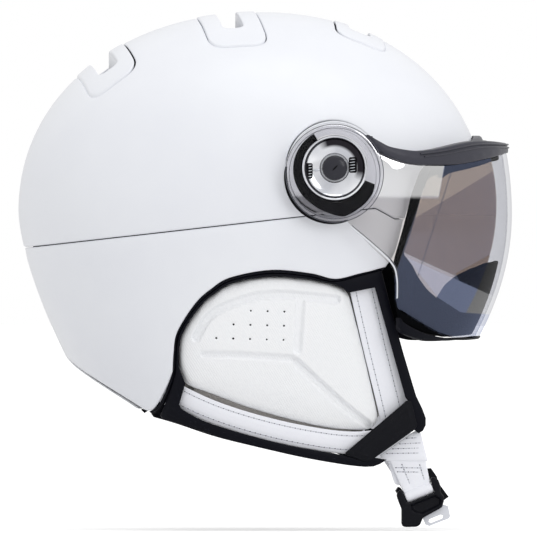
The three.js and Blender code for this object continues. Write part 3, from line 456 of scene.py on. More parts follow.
def strap(name, ribbon, width, inset, thick, side, body, replaces, rows, creases=()):
    """A leather strap along a ribbon: softly crowned, drawn in along its stitch rows, with its stitches."""
    half = width / 2
    corners = [(0, -half), (ribbon.length, -half), (ribbon.length, half), (0, half)]
    uvd, faces, _ = plate(rounded(corners, STRAP_CORNER), spacing=1.3, thick=thick, edge=thick * STRAP_EDGE)
    s, w, depth = uvd.T
    rise = STRAP_CROWN * (1 - (w / half) ** 4)
    for row in rows:
        rise = rise - groove(w - row, 0.38, 0.75)
    for crease in creases:
        rise = rise - groove(w - crease, 0.45, 0.45)
    rise = rise * (1 - depth / thick)
    points = ribbon.at(np.clip(s, 0.01, ribbon.length - 0.01), w, inset + depth - rise, side)
    make(name, points, faces, STRAP_LEATHER, body, "leather_white", replaces)
    stitch_inset = inset - STRAP_CROWN + 0.34
    steps = np.arange(STRAP_END, ribbon.length - STRAP_END, STITCH_STEP)
    runs = [list(ribbon.at(steps, np.full(len(steps), row), stitch_inset, side)) for row in rows]
    sew(name, runs, (0, side, 0), body)


def sew(name, runs, outward, body):
    """A thread between each pair of spots in a run, and at each spot a grey bead of painted shade for the
    needle hole.
    """
    threads, holes = [], []
    for run in runs:
        for a, b in zip(run, run[1:]):
            a, b = np.array(a), np.array(b)
            across = np.cross(b - a, outward)
            threads.append(bead(a + (b - a) * 0.52, b - a, across, np.linalg.norm(b - a) * 0.74, 0.6, 0.55))
            holes.append(bead(a, b - a, across, 0.95, 0.62, 0.5))
    for part, beads, material in (("stitches", threads, THREAD), ("needle_shades", holes, NEEDLE_SHADE)):
        points, faces = merged(beads)
        make(f"{name}_{part}", points, faces, material, body, "leather_white")


# ---------------------------------------------------------------- materials

def feed(tree, node, key, value):
    """Links the node's input to a socket, or sets it to a value."""
    if isinstance(value, bpy.types.NodeSocket):
        tree.links.new(value, node.inputs[key])
    else:
        node.inputs[key].default_value = value


class Nodes:
    """A short way to write a material's node tree."""

    def __init__(self, name):
        self.material = bpy.data.materials.new(name)
        self.material.use_nodes = True
        self.tree = self.material.node_tree
        self.tree.nodes.clear()
        self.out = self.add("ShaderNodeOutputMaterial")

    def add(self, kind, inputs=None, **settings):
        node = self.tree.nodes.new(kind)
        for key, value in settings.items():
            setattr(node, key, value)
        for key, value in (inputs or {}).items():
            feed(self.tree, node, key, value)
        return node

    def place(self):
        return self.add("ShaderNodeTexCoord").outputs["Object"]

    def noise(self, scale, detail=4.0, rough=0.55, vector=None):
        node = self.add("ShaderNodeTexNoise", {"Scale": scale, "Detail": detail, "Roughness": rough})
        self.tree.links.new(vector or self.place(), node.inputs["Vector"])
        return node.outputs["Fac"]

    def cells(self, scale, feature="F1", vector=None):
        node = self.add("ShaderNodeTexVoronoi", {"Scale": scale}, feature=feature)
        self.tree.links.new(vector or self.place(), node.inputs["Vector"])
        return node.outputs["Distance"]

    def between(self, value, low, high, start=0.0, end=1.0):
        node = self.add("ShaderNodeMapRange", {"Value": value, "From Min": start, "From Max": end,
                                               "To Min": low, "To Max": high})
        return node.outputs["Result"]

    def mix(self, factor, a, b):
        """The colour a where the factor is 0 and b where it is 1."""
        a, b = (c if isinstance(c, bpy.types.NodeSocket) else (*c, 1) for c in (a, b))
        return self.add("ShaderNodeMix", {0: factor, 6: a, 7: b}, data_type="RGBA").outputs[2]

    def maths(self, operation, a, b=0.0, c=0.0):
        return self.add("ShaderNodeMath", {0: a, 1: b, 2: c}, operation=operation).outputs[0]

    def bump(self, height, strength, distance, normal=None):
        inputs = {"Height": height, "Strength": strength, "Distance": distance}
        if normal:
            inputs["Normal"] = normal
        return self.add("ShaderNodeBump", inputs).outputs["Normal"]

    def surface(self, colour, roughness, normal=None, **more):
        inputs = {"Base Color": colour, "Roughness": roughness}
        inputs.update({key.replace("_", " "): value for key, value in more.items()})
        if normal:
            inputs["Normal"] = normal
        return self.finish(self.add("ShaderNodeBsdfPrincipled", inputs))

    def finish(self, shader):
        self.tree.links.new(shader.outputs[0], self.out.inputs["Surface"])
        return self.material


def tone(red, green, blue):
    """A screen colour, 0 to 255, as linear light."""
    values = [c / 255 for c in (red, green, blue)]
    return tuple(c / 12.92 if c < 0.04045 else ((c + 0.055) / 1.055) ** 2.4 for c in values)


def shell_paint():
    """Pearl-white satin paint: fine orange peel, faint cloudiness and a soft clear coat."""
    n = Nodes("shell_paint")
    cloud = n.noise(14, 3)
    colour = n.mix(n.between(cloud, 0, 1, 0.35, 0.65), tone(231, 233, 239), tone(235, 237, 242))
    sparkle = n.noise(2600, 2)
    colour = n.mix(n.between(sparkle, 0, 0.1, 0.5, 0.8), colour, tone(250, 250, 252))
    rough = n.between(n.noise(60, 3), 0.3, 0.38)
    peel = n.bump(n.noise(420, 2), 0.05, 0.0004)
    return n.surface(colour, rough, peel, Coat_Weight=0.3, Coat_Roughness=0.22, Specular_IOR_Level=0.4)


def plastic(name, colour, rough=0.5, grain=900, depth=0.00012, strength=0.3, scuff=0.0, shine=0.2):
    """Moulded plastic with a fine grain, uneven gloss and paler rubbed patches."""
    n = Nodes(name)
    worn = n.between(n.noise(90, 5), 0, 1, 0.62, 0.8)
    base = n.mix(n.maths("MULTIPLY", worn, scuff), colour, tuple(min(1, c * 1.6 + 0.02) for c in colour))
    base = n.mix(n.between(n.noise(35, 3), 0, 0.25), base, tuple(c * 0.7 for c in colour))
    roughness = n.between(n.noise(140, 4), rough - 0.06, rough + 0.08)
    normal = n.bump(n.cells(grain), strength, depth)
    return n.surface(base, roughness, normal, Specular_IOR_Level=shine)


def leather(name, colour, shade, grain=700, depth=0.00012, strength=0.35, weave=0.0):
    """Soft leather: pebbled grain bent by fine creases, a faint pressed twill, and slightly darker pores."""
    n = Nodes(name)
    wobble = n.add("ShaderNodeTexNoise", {"Scale": 160.0, "Detail": 3.0})
    n.tree.links.new(n.place(), wobble.inputs["Vector"])
    shift = (0.004, 0.004, 0.004)
    bend = n.add("ShaderNodeVectorMath", {0: wobble.outputs["Color"], 1: shift}, operation="MULTIPLY")
    vector = n.add("ShaderNodeVectorMath", {0: n.place(), 1: bend.outputs[0]}, operation="ADD").outputs[0]
    pebble = n.cells(grain, "SMOOTH_F1", vector)
    crease = n.cells(grain * 0.35, "DISTANCE_TO_EDGE", vector)
    pores = n.between(pebble, 0, 0.22, 0.35, 0.75)
    base = n.mix(pores, colour, shade)
    base = n.mix(n.between(n.noise(22, 4), 0, 0.22, 0.3, 0.8), base, shade)
    rough = n.between(n.noise(80, 3), 0.5, 0.62)
    normal = n.bump(n.maths("SUBTRACT", 1.0, pebble), strength, depth)
    normal = n.bump(n.between(crease, 0, 1, 0, 0.08), strength * 0.3, depth, normal)
    if weave:
        turned = n.add("ShaderNodeMapping", {"Vector": n.place(), "Rotation": (0.0, math.radians(32), 0.0)})
        rib = n.add("ShaderNodeTexWave", {"Scale": 260.0, "Distortion": 1.2, "Detail": 2.0})
        n.tree.links.new(turned.outputs[0], rib.inputs["Vector"])
        normal = n.bump(rib.outputs["Fac"], weave, 0.0003, normal)
    return n.surface(base, rough, normal, Sheen_Weight=0.06, Specular_IOR_Level=0.3)


def fleece(name, colour, shade):
    """Brushed fleece lining, tufted and matt."""
    n = Nodes(name)
    tuft = n.noise(900, 6, 0.75)
    base = n.mix(n.between(tuft, 0, 1, 0.3, 0.7), shade, colour)
    base = n.mix(n.between(n.noise(40, 3), 0, 0.3), base, shade)
    normal = n.bump(tuft, 0.9, 0.0012)
    return n.surface(base, 0.95, normal, Sheen_Weight=0.5, Sheen_Roughness=0.6)


def thread(name, colour):
    """Twisted sewing thread."""
    n = Nodes(name)
    twist = n.add("ShaderNodeTexWave", {"Scale": 900.0, "Distortion": 1.0})
    n.tree.links.new(n.place(), twist.inputs["Vector"])
    base = n.mix(n.between(twist.outputs["Fac"], 0, 0.4), colour, tuple(c * 0.75 for c in colour))
    return n.surface(base, 0.7, n.bump(twist.outputs["Fac"], 0.5, 0.0002), Sheen_Weight=0.2)


def bead_foam():
    """Moulded bead foam: packed cells with dark joints."""
    n = Nodes("bead_foam")
    bead_edge = n.cells(330, "DISTANCE_TO_EDGE")
    colour = n.mix(n.between(bead_edge, 0, 1, 0, 0.12), tone(20, 20, 22), tone(46, 46, 50))
    normal = n.bump(n.cells(330), 0.6, 0.0006)
    return n.surface(colour, 0.85, normal)


def brushed_steel():
    n = Nodes("brushed_steel")
    stretch = n.add("ShaderNodeMapping", {"Vector": n.place(), "Scale": (60.0, 900.0, 1400.0)})
    lines = n.noise(2.0, 4, 0.6, stretch.outputs[0])
    colour = n.mix(n.between(lines, 0, 1, 0.3, 0.7), tone(176, 180, 187), tone(226, 229, 235))
    rough = n.between(lines, 0.22, 0.36)
    return n.surface(colour, rough, n.bump(lines, 0.15, 0.0002), Metallic=1.0)


def see_through(n, tint, gloss, rough, normal, sheen):
    """Thin clear plastic under a glossy skin. Light passes straight on, tinted, and darker at grazing angles.
    The gloss is added to the mirror share that the viewing angle gives."""
    grazing = n.add("ShaderNodeLayerWeight", {"Blend": 0.25, "Normal": normal}).outputs["Facing"]
    dark = n.maths("MULTIPLY", n.maths("POWER", grazing, 7.0), 0.5)
    tint = n.mix(dark, tint, (0.12, 0.12, 0.14))
    through = n.add("ShaderNodeBsdfTransparent", {"Color": tint}).outputs[0]
    colour = sheen if isinstance(sheen, bpy.types.NodeSocket) else (*sheen, 1)
    mirror = n.add("ShaderNodeBsdfGlossy", {"Color": colour, "Roughness": rough, "Normal": normal}).outputs[0]
    fresnel = n.add("ShaderNodeFresnel", {"IOR": 1.45, "Normal": normal}).outputs[0]
    share = n.maths("MINIMUM", n.maths("ADD", n.maths("MULTIPLY", fresnel, 0.3), gloss), 1.0)
    outer_face = n.maths("SUBTRACT", 1.0, n.add("ShaderNodeNewGeometry").outputs["Backfacing"])
    share = n.maths("MULTIPLY", share, outer_face)
    return n.finish(n.add("ShaderNodeMixShader", {0: share, 1: through, 2: mirror}))


def clear_plastic():
    n = Nodes("clear_plastic")
    normal = n.bump(n.noise(120, 2), 0.02, 0.0003)
    rough = n.between(n.noise(50, 3), 0.02, 0.06)
    return see_through(n, tone(249, 249, 251), 0.0, rough, normal, (1.0, 1.0, 1.0))


def pane(red, green, blue):
    """The tint of one face of a sheet, two faces thick, that gives a white backdrop this colour."""
    return tuple(c ** 0.5 for c in tone(red, green, blue))


WHITE = (1.0, 1.0, 1.0)
COATING_BLUE = (0.56, 0.66, 1.0)
PHOTO_TURN = math.radians(2.5)  # how far the camera stands off a true side view
SOFT_LINE = 0.5  # half the width, in millimetres, over which one zone of the lens changes to the next


class SideView:
    """Zones of a material, laid out in millimetres as seen from beside it. A zone is 1 inside and 0
    outside."""

    def __init__(self, n):
        self.n = n
        place = n.add("ShaderNodeSeparateXYZ", {0: n.place()})
        turn = n.maths("MULTIPLY", n.maths("ABSOLUTE", place.outputs[1]), math.tan(PHOTO_TURN))
        self.x = n.maths("ADD", place.outputs[0], turn)
        self.z = place.outputs[2]

    def step(self, value, width=SOFT_LINE):
        limits = {"Value": value, "From Min": -width * MM, "From Max": width * MM}
        return self.n.add("ShaderNodeMapRange", limits, interpolation_type="SMOOTHSTEP").outputs["Result"]

    def past(self, across, along, slope, start, width):
        """The zone where one coordinate is past the line start + slope times the other."""
        line = self.n.maths("MULTIPLY_ADD", along, slope, start * MM)
        return self.step(self.n.maths("SUBTRACT", across, line), width)

    def ahead_of(self, x0, z0, x1, z1, width=SOFT_LINE):
        slope = (x1 - x0) / (z1 - z0)
        return self.past(self.x, self.z, slope, x0 - z0 * slope, width)

    def above(self, x0, z0, x1, z1, width=SOFT_LINE):
        slope = (z1 - z0) / (x1 - x0)
        return self.past(self.z, self.x, slope, z0 - x0 * slope, width)

    def ahead_of_bow(self, x, z, bend):
        """The zone ahead of a line that bows forward to x at height z."""
        off = self.n.maths("ABSOLUTE", self.n.maths("SUBTRACT", self.z, z * MM))
        back = self.n.maths("MULTIPLY", self.n.maths("POWER", off, 2.0), bend)
        return self.step(self.n.maths("SUBTRACT", self.x, self.n.maths("SUBTRACT", x * MM, back)))

    def from_outside(self):
        """1 where the viewer looks at the lens from outside the helmet."""
        n = self.n
        level = {0: n.place(), 1: (1.0, 1.0, 0.0)}
        out = n.add("ShaderNodeVectorMath", level, operation="MULTIPLY").outputs[0]
        both = {0: out, 1: n.add("ShaderNodeNewGeometry").outputs["Incoming"]}
        facing = n.add("ShaderNodeVectorMath", both, operation="DOT_PRODUCT").outputs["Value"]
        return n.maths("GREATER_THAN", facing)

    def every(self, *zones):
        out = zones[0]
        for zone in zones[1:]:
            out = self.n.maths("MULTIPLY", out, zone)
        return out

    def outside(self, zone):
        return self.n.maths("SUBTRACT", 1.0, zone)


def lens_tint(n, view, coated, pale, from_outside):
    """The lens's colour: smoke ahead of the side strip, tan above a slanting line, pale over the lower seal
    and paler at the front as painted reflection, with a fine fold line, and clear behind the strip, with
    painted shade making it greyer below it."""
    tint = n.mix(n.between(n.noise(9, 2), 0, 0.3, 0.3, 0.8), pane(122, 107, 97), pane(113, 98, 89))
    tint = n.mix(view.above(89.4, 180.1, 130.7, 204.9), tint, pane(155, 140, 124))
    low = view.outside(view.above(84.4, 156.5, 111.6, 144.2))
    over_seal = view.every(low, view.ahead_of(78.6, 157, 84, 130))
    tint = n.mix(n.maths("MULTIPLY", over_seal, 0.9), tint, pane(175, 170, 172))
    # painted reflection: the paler tint at the front stands in for the light the lens mirrors at a glancing
    # angle
    tint = n.mix(pale, tint, pane(206, 209, 216))
    behind_fold = view.outside(view.ahead_of(108.8, 208.9, 82.1, 126))
    fold = view.every(view.ahead_of(108.3, 208.9, 81.6, 126), behind_fold)
    tint = n.mix(n.maths("MULTIPLY", fold, 0.7), tint, pane(60, 56, 60))
    # painted shade: the clear arm's tint is greyer below this line, standing in for the shadow there
    arm = n.mix(view.above(70, 190.5, 90, 189.5, 1.2), pane(220, 218, 217), pane(250, 250, 251))
    return n.mix(from_outside, pane(240, 238, 238), n.mix(coated, arm, tint))


def lens_gloss(n, view, coated, pale, from_outside):
    """How much the lens mirrors, and in what colour: faintly blue over its coated part, more in a patch low
    on it that is a painted reflection, a little more at the front as painted reflection, and white in the
    painted glare over the arm. It is dimmed in a painted shadow over the seal."""
    glare = view.every(view.above(50, 190.6, 104, 190.2, 1.5),
                       view.outside(view.ahead_of(100, 190.5, 103.2, 208)), from_outside)
    over_lip = view.above(108.5, 124.4, 130, 122.8)
    # painted reflection: a little more mirror share at the pale front, over the lip
    front = view.every(pale, over_lip)
    blue = view.every(coated, view.outside(front), view.outside(glare))
    sheen = n.mix(blue, WHITE, COATING_BLUE)
    over_fold = view.above(108, 144, 124, 137)
    # painted reflection: a patch of extra mirror share low on the lens
    patch = view.every(view.ahead_of(98.6, 134, 101, 131), view.above(100.1, 132.2, 108.5, 126.9), over_lip,
                       view.outside(over_fold), from_outside)
    shadow = view.every(view.ahead_of(110, 146, 112, 142), over_fold,
                        view.outside(view.above(108, 145.5, 131, 158)))
    gloss = n.maths("MULTIPLY", view.every(blue, from_outside), 0.1)
    for zone, strength in ((front, 0.02), (patch, 0.14), (glare, 0.6)):
        gloss = n.maths("ADD", gloss, n.maths("MULTIPLY", zone, strength))
    gloss = n.maths("MULTIPLY", gloss, view.outside(n.maths("MULTIPLY", shadow, 0.85)))
    return gloss, sheen


def lens_plastic():
    """The visor's screen. Its zones are laid out as seen from beside it, and only show from outside."""
    n = Nodes("lens_plastic")
    view = SideView(n)
    coated = view.ahead_of(86.5, 181, 78.6, 157)
    # pale marks the front, where a paler tint and a little more gloss are painted reflection
    pale = view.ahead_of_bow(133.6, 186, 4.6)
    from_outside = view.from_outside()
    tint = lens_tint(n, view, coated, pale, from_outside)
    gloss, sheen = lens_gloss(n, view, coated, pale, from_outside)
    normal = n.bump(n.noise(18, 1), 0.012, 0.001)
    rough = n.between(n.noise(160, 4), 0.015, 0.04)
    return see_through(n, tint, gloss, rough, normal, sheen)


def dish_chrome():
    """The pivot dish's plating, with a painted reflection of the dark room in the upper front of its hollow.
    """
    n = Nodes("dish_chrome")
    place = n.add("ShaderNodeSeparateXYZ", {0: n.place()})
    x = n.maths("SUBTRACT", place.outputs[0], PIVOT_X * MM)
    z = n.maths("SUBTRACT", place.outputs[2], PIVOT_Z * MM)
    radius = n.maths("SQRT", n.maths("ADD", n.maths("MULTIPLY", x, x), n.maths("MULTIPLY", z, z)))
    angle = n.maths("ARCTAN2", z, x)
    inner = n.between(radius, 0, 1, 0.0118, 0.0134)
    rim = n.between(radius, 1, 0, 0.0168, 0.0174)
    swing = n.between(n.maths("ABSOLUTE", n.maths("SUBTRACT", angle, 0.87)), 1, 0, 1.0, 1.35)
    # painted reflection: a dark arc in the plating's colour for the dark room it mirrors
    dark = n.maths("MULTIPLY", n.maths("MULTIPLY", inner, rim), swing)
    swirl = n.noise(45, 2)
    bright = n.mix(n.between(swirl, 0, 1, 0.4, 0.6), tone(206, 208, 215), tone(240, 241, 245))
    colour = n.mix(dark, bright, tone(44, 42, 47))
    rough = n.between(n.noise(300, 4), 0.08, 0.16)
    return n.surface(colour, rough, n.bump(n.noise(700, 2), 0.03, 0.0002), Metallic=1.0)


PAINT = shell_paint()
FOAM = bead_foam()
BLACK = plastic("black_plastic", tone(12, 13, 20), 0.4, scuff=0.15, shine=0.14)
RUBBER = plastic("black_rubber", tone(11, 12, 21), 0.5, grain=1400, depth=0.00008, scuff=0.1, shine=0.1)
GLOSS_BLACK = plastic("gloss_black", tone(42, 42, 50), 0.2, grain=300, depth=0.00003, scuff=0.1, shine=0.3)
CLICK_BLACK = plastic("click_ring_black", tone(12, 12, 16), 0.24, grain=300, depth=0.00003, shine=0.06)
TRIM = plastic("trim_rubber", tone(60, 60, 69), 0.36, grain=1600, depth=0.00005, scuff=0.15, shine=0.28)
SEAL_FOAM = plastic("seal_foam", tone(8, 9, 12), 0.8, grain=700, depth=0.0003, strength=0.6, shine=0.04)
DISH_CHROME = dish_chrome()
STEEL = brushed_steel()
RIM_GREY = plastic("rim_grey", tone(84, 86, 94), 0.3, shine=0.3)
# painted highlight: pale opaque plastic for the light caught along the clear arm's edge
EDGE_HIGHLIGHT = plastic("painted_edge_highlight", tone(226, 228, 234), 0.18, grain=300, depth=0.00002, shine=0.5)
TAG_STEEL = plastic("painted_steel", tone(226, 228, 235), 0.3, grain=300, depth=0.00003, shine=0.5)
PALE_FLEECE = fleece("pale_fleece", tone(176, 172, 168), tone(140, 136, 132))
CLEAR = clear_plastic()
LENS = lens_plastic()
LEATHER = leather("white_leather", tone(246, 247, 249), tone(237, 239, 243), weave=0.3)
STRAP_LEATHER = leather("strap_leather", tone(245, 246, 252), tone(235, 237, 246), grain=950, depth=0.00008,
                        strength=0.25)
THREAD = thread("white_thread", tone(205, 207, 216))
FLEECE = fleece("grey_fleece", tone(142, 138, 134), tone(98, 95, 92))
# painted shadow: near black, standing in for the shade inside holes and slots
PORE_SHADOW = plastic("pore_shadow", tone(18, 18, 20), 0.9, shine=0.05)
# painted shade: the grey shown for the shade in each needle hole
NEEDLE_SHADE = plastic("needle_shade", tone(112, 114, 124), 0.9, shine=0.05)


# ---------------------------------------------------------------- shells and vents

def seam_z(x):
    return np.where(x < 60, 177.5 + 0.112 * x, 184.2 - 0.54 * (x - 60))


FACE_LINE = smooth(FACE_EDGE, 70)
EAR_LINE = smooth(EAR_EDGE, 90)
NAPE_LINE = smooth(NAPE_EDGE, 60)


def on_shell(x, z, side):
    return x, side * float(shell_y(x, z)), z


def seam_line():
    """The joint line's points on the wearer's right, from the back to where it meets the face opening."""
    points = []
    for angle in np.linspace(-math.pi, -0.9, 150):
        z = 170.0
        for _ in range(40):
            x = float(shell_point(angle, np.array(z))[0])
            z = float(seam_z(np.array(x)))
        edge_x = np.interp(z, [p[1] for p in FACE_LINE[::-1]], [p[0] for p in FACE_LINE[::-1]])
        if x >= edge_x - 0.3:
            break
        points.append((x, z))
    points.append((float(edge_x), z))
    return points


SEAM_LINE = seam_line()
SEAM_END = SEAM_LINE[-1]


def both_sides(half):
    """A half outline on the wearer's right, unrolled, with its mirror image added. An end on the mid-plane
    isn't doubled."""
    right = [unroll(on_shell(x, z, RIGHT)) for x, z in half]
    left = [(u, -v) for u, v in right[::-1]]
    start = 1 if abs(right[-1][1]) < 1e-6 else 0
    end = -1 if abs(right[0][1]) < 1e-6 else None
    return right + left[start:end]


# Each vent's name, middle x, length, half-width, hole length, hole half-width, and its ends' bow forward.
VENTS = [("rear", -96, 26, 58, 11, 44, 7), ("top", -23, 33, 62, 12, 45, 6), ("front", 54, 28, 43, 12, 27, 0)]
RIM_CORNER, HOLE_CORNER = 6, 3
RIM_PROUD = 0.55
VENT_GAP = 0.55


def vent_outline(x0, length, half_width, corner, bow_width, bow, grow):
    """A rounded box across the roof, bowed so that it is moved forward by the bow at the bow's width."""
    a, b, r = length / 2 + grow, half_width + grow, corner + grow
    box = rounded([(a, -b), (a, b), (-a, b), (-a, -b)], r * 1.6, 6)
    return [(x0 + x + bow * (y / bow_width) ** 2, y) for x, y in split(box, 3.0)]


def pivot_circle(r, side):
    return [unroll(on_shell(x, z, side)) for x, z in arc(PIVOT_X, PIVOT_Z, r, 0, 360, 60)[:-1]]


def build_upper_shell():
    face = [p for p in FACE_LINE if p[1] > SEAM_END[1] + 0.5]
    upper = both_sides([*SEAM_LINE, *face[::-1]])
    holes = [pivot_circle(27.6, side) for side in (RIGHT, LEFT)]
    for _, x, length, width, _, _, bow in VENTS:
        ring = vent_outline(x, length, width, RIM_CORNER, width, bow, VENT_GAP)
        holes.append([unroll((px, py, float(shell_top(px, py)))) for px, py in ring])
    uvd, faces, _ = plate(upper, holes, spacing=3.4, thick=SKIN, edge=1.1, steps=4)
    points = roll(uvd[:, 0], uvd[:, 1], uvd[:, 2])
    make("upper_shell", points, faces, PAINT, "shell", "shell_white", ("shell_upper",), 50)


def build_lower_shell():
    """The lower shell, whose top edge is drawn in so that the upper shell stands proud along the seam."""
    draw_in, draw_height = 0.7, 9
    cheek = [p for p in FACE_LINE if p[1] < SEAM_END[1] - 0.5]
    top = [(x, z - 0.5) for x, z in SEAM_LINE]
    lower = both_sides([*NAPE_LINE[::-1], *EAR_LINE[::-1][1:], *cheek[::-1], *top[::-1]])
    uvd, faces, _ = plate(lower, spacing=3.4, thick=SKIN - draw_in, edge=0.8, steps=3)
    u, v, depth = uvd.T
    surface = roll(u, v, 0.0)
    near_seam = np.clip((surface[:, 2] - seam_z(surface[:, 0]) + draw_height) / draw_height, 0, 1)
    points = roll(u, v, depth + draw_in * near_seam ** 2)
    make("lower_shell", points, faces, PAINT, "shell", "shell_white", ("shell_lower",), 50)


def build_vents():
    """Each vent's painted rim, flush in the roof, and the wall that lines its hole."""
    for name, x, length, width, hole_length, hole_width, bow in VENTS:
        def hole(grow):
            return vent_outline(x, hole_length, hole_width, HOLE_CORNER, width, bow, grow)

        rim = vent_outline(x, length, width, RIM_CORNER, width, bow, 0)
        uvd, faces, _ = plate(rim, [hole(0)], spacing=2.6, thick=2.2, edge=0.7, steps=4)
        px, py, depth = uvd.T
        points = np.stack([px, py, shell_top(px, py, depth - RIM_PROUD)], -1)
        replaces = (f"vent_frame_{name}",)
        make(f"vent_rim_{name}", points, faces, PAINT, "shell", "shell_white", replaces, 50)
        uvd, faces, _ = plate(hole(1.6), [hole(-0.05)], spacing=2.0, thick=12.4, edge=0.4, steps=2)
        px, py, depth = uvd.T
        points = np.stack([px, py, shell_top(px, py) - depth - 1.2], -1)
        make(f"vent_wall_{name}", points, faces, PAINT, "shell", "shell_white", (), 50)


# ---------------------------------------------------------------- visor

LENS_REAR = [(108, 73.5), (126, 73.2), (147, 71.8), (154.7, 65.4), (177, 41.5), (185, 38), (240, 38)]
LENS_LOW = [(0, 126), (0.12, 121.8), (0.29, 116.6), (0.48, 111.9), (0.68, 109.2), (0.86, 109), (1, 110)]
LENS_HIGH = [(0.24, 215), (0.34, 211), (0.46, 209), (0.58, 209), (0.71, 210.4), (0.87, 213.6), (1, 216.6)]


def lens_nose(z):
    """The x of the lens on the mid-plane."""
    return SHELL_X + float(lens_front(np.array(z)))


def lens_x(share, z):
    """The x at a share of the way from the lens's rear edge, (z, x) in LENS_REAR, to its front."""
    rear = float(np.interp(z, [p[0] for p in LENS_REAR], [p[1] for p in LENS_REAR]))
    return rear + (lens_nose(z) - rear) * share


def lens_half(points, side):
    """Side-view points as a flat outline, with the point on the mid-plane put at zero."""
    flat = []
    for x, z in points:
        u, v = lens_flat(x, z, side)
        flat.append((0.0 if x >= lens_nose(z) - 0.05 else u, v))
    return flat


def lens_outline():
    low = [(lens_x(g, z), z) for g, z in smooth(LENS_LOW, 24)][::-1]
    rear = [(71.4, 132), (71.0, 143.5), (68.2, 151.6), (57, 162)]
    top = [(lens_x(g, z), z) for g, z in smooth(LENS_HIGH, 24)]
    rim = arc(PIVOT_X, PIVOT_Z - LID_DROP, LID_R, 286, 26, 60)
    return low + rear + rim + top


def mirrored(half):
    """The closed outline of a half on the wearer's right whose first and last points are on the mid-plane."""
    return half + [(-u, v) for u, v in half[::-1][1:-1]]


def trim_rail(points):
    """A fine raised rail along the trim's outer face, right round the front."""
    flat = np.array([lens_flat(x, z, LEFT) for x, z in smooth(points, 40)])[::-1]
    profile = [(-0.5, -1.0), (-0.42, -2.0), (0.0, -2.3), (0.42, -2.0), (0.5, -1.0)]
    rings = []
    for u in np.linspace(-flat[-1, 0], flat[-1, 0], 160):
        v = np.interp(abs(u), flat[:, 0], flat[:, 1])
        rings.append([lens_roll(np.array(u), np.array(v + rise), deep) for rise, deep in profile])
    return loft(rings)


def lens_layer(outline, holes, spacing, thick, edge, steps, inset):
    """A plate bent round the lens, its outer face inset from the lens's. The inset may be a function of each
    point's distance from the outline and its depth."""
    uvd, faces, away = plate(outline, holes, spacing=spacing, thick=thick, edge=edge, steps=steps)
    u, z, depth = uvd.T
    if callable(inset):
        inset = inset(away, depth)
    return lens_roll(u, z, depth + inset), faces


def build_screen():
    outline = mirrored(lens_half(lens_outline(), RIGHT))
    bore = arc(PIVOT_X, PIVOT_Z, 8.3, 0, 360, 40)[:-1]
    holes = [[lens_flat(x, z, side) for x, z in bore] for side in (RIGHT, LEFT)]
    points, faces = lens_layer(outline, holes, 3.2, LENS_THICK, 1.15, 5, 0.0)
    make("visor_screen", points, faces, LENS, "visor", "lens_tint", ("visor_lens",), 50)


def build_screen_edges():
    """A pale bead of painted highlight along the polished rear edge of each clear arm, and the fine painted
    shade line beside it.
    """
    edge = smooth([(44, 173.2), (57, 162.3), (68, 151.9), (70.9, 143.4), (71.2, 132)], 60)
    beads = (("edge", 0.25, -0.15, 0.42, EDGE_HIGHLIGHT), ("edge_shade", 1.15, -0.1, 0.16, RIM_GREY))
    for name, shift, inset, radius, material in beads:
        ring = [np.array([math.cos(t) * radius, 0.8 * math.sin(t) * radius, math.cos(t) * radius * 0.7])
                for t in turns(8)]
        for side, word in SIDES:
            rings = []
            for x, z in edge:
                spot = lens_roll(*np.array(lens_flat(x + shift, z + shift * 0.7, side)), inset)
                rings.append([spot + point for point in ring])
            make(f"visor_{name}_{word}", *loft(rings), material, "visor", "lens_tint", (), 60)


def build_brow_trim():
    """The dark trim over the screen's upper edge, stepped towards its middle, with two fine rails."""
    crest = smooth([(54.7, 226), (61.7, 222), (68, 219.1), (81.3, 217), (91, 217.6), (99.8, 219.3),
                    (109, 221.4), (117, 222.8), (128, 222.9), (138.6, 222)], 40)
    hem = smooth([(139.4, 216.6), (132, 214.3), (122.7, 212.2), (111, 209.8), (99.8, 208.9), (82, 209.2),
                  (73.3, 211), (63.2, 215), (57, 220.4)], 40)
    crest[-1] = (lens_nose(222), 222)
    hem[0] = (lens_nose(216.4), 216.4)
    half = lens_half(crest[::-1] + hem[::-1], RIGHT)

    def inset(away, depth):
        steps = 0.35 * np.clip((away - 1.5) / 0.5, 0, 1) + 0.35 * np.clip((away - 3.0) / 0.5, 0, 1)
        return -1.1 - steps * (depth < 2)

    points, faces = lens_layer(mirrored(half), (), 1.3, 6.2, 1.1, 4, inset)
    make("visor_brow_trim", points, faces, TRIM, "visor", "trim_rubber", ("visor_top_trim",), 40)
    rails = [trim_rail([(86, 213.6), (98, 215), (110, 217.4), (122, 219.2), (132, 219.4)]),
             trim_rail([(84, 215.2), (96, 216.7), (107, 218.9), (118, 220.9), (130, 221.2)])]
    make("visor_trim_rails", *merged(rails), TRIM, "visor", "trim_rubber", (), 40)


# The face seal's outlines. Their first and last points lie on the mid-plane, where only the height counts.
SEAL_OUTER = [(0, 215.6), (128, 213.8), (111, 211.4), (96, 209.8), (89.5, 208.8), (86.4, 204.9),
              (81.3, 191.8), (71.9, 157.5), (70.6, 152), (71.6, 145), (71.6, 130), (74.5, 118), (88.5, 112),
              (101, 109.9), (112, 110.5), (0, 111.5)]
SEAL_INNER = [(0, 213), (128.6, 210.9), (98.7, 203.4), (91.9, 203.2), (90.1, 200.9), (86.4, 192),
              (75.8, 157.9), (77.1, 156.1), (80.7, 151.7), (84.3, 144.6), (89.7, 137.5), (96.4, 131.8),
              (102.4, 128.4), (104.6, 131.8), (109.8, 140), (115.8, 145.2), (123, 149), (131, 152.6),
              (0, 154)]
SEAL_INSET = 4.9


def seal_loop(points):
    middle = [lens_flat(x, z, RIGHT, SEAL_INSET) for x, z in points[1:-1]]
    return rounded(mirrored([(0.0, points[0][1]), *middle, (0.0, points[-1][1])]), 2.5)


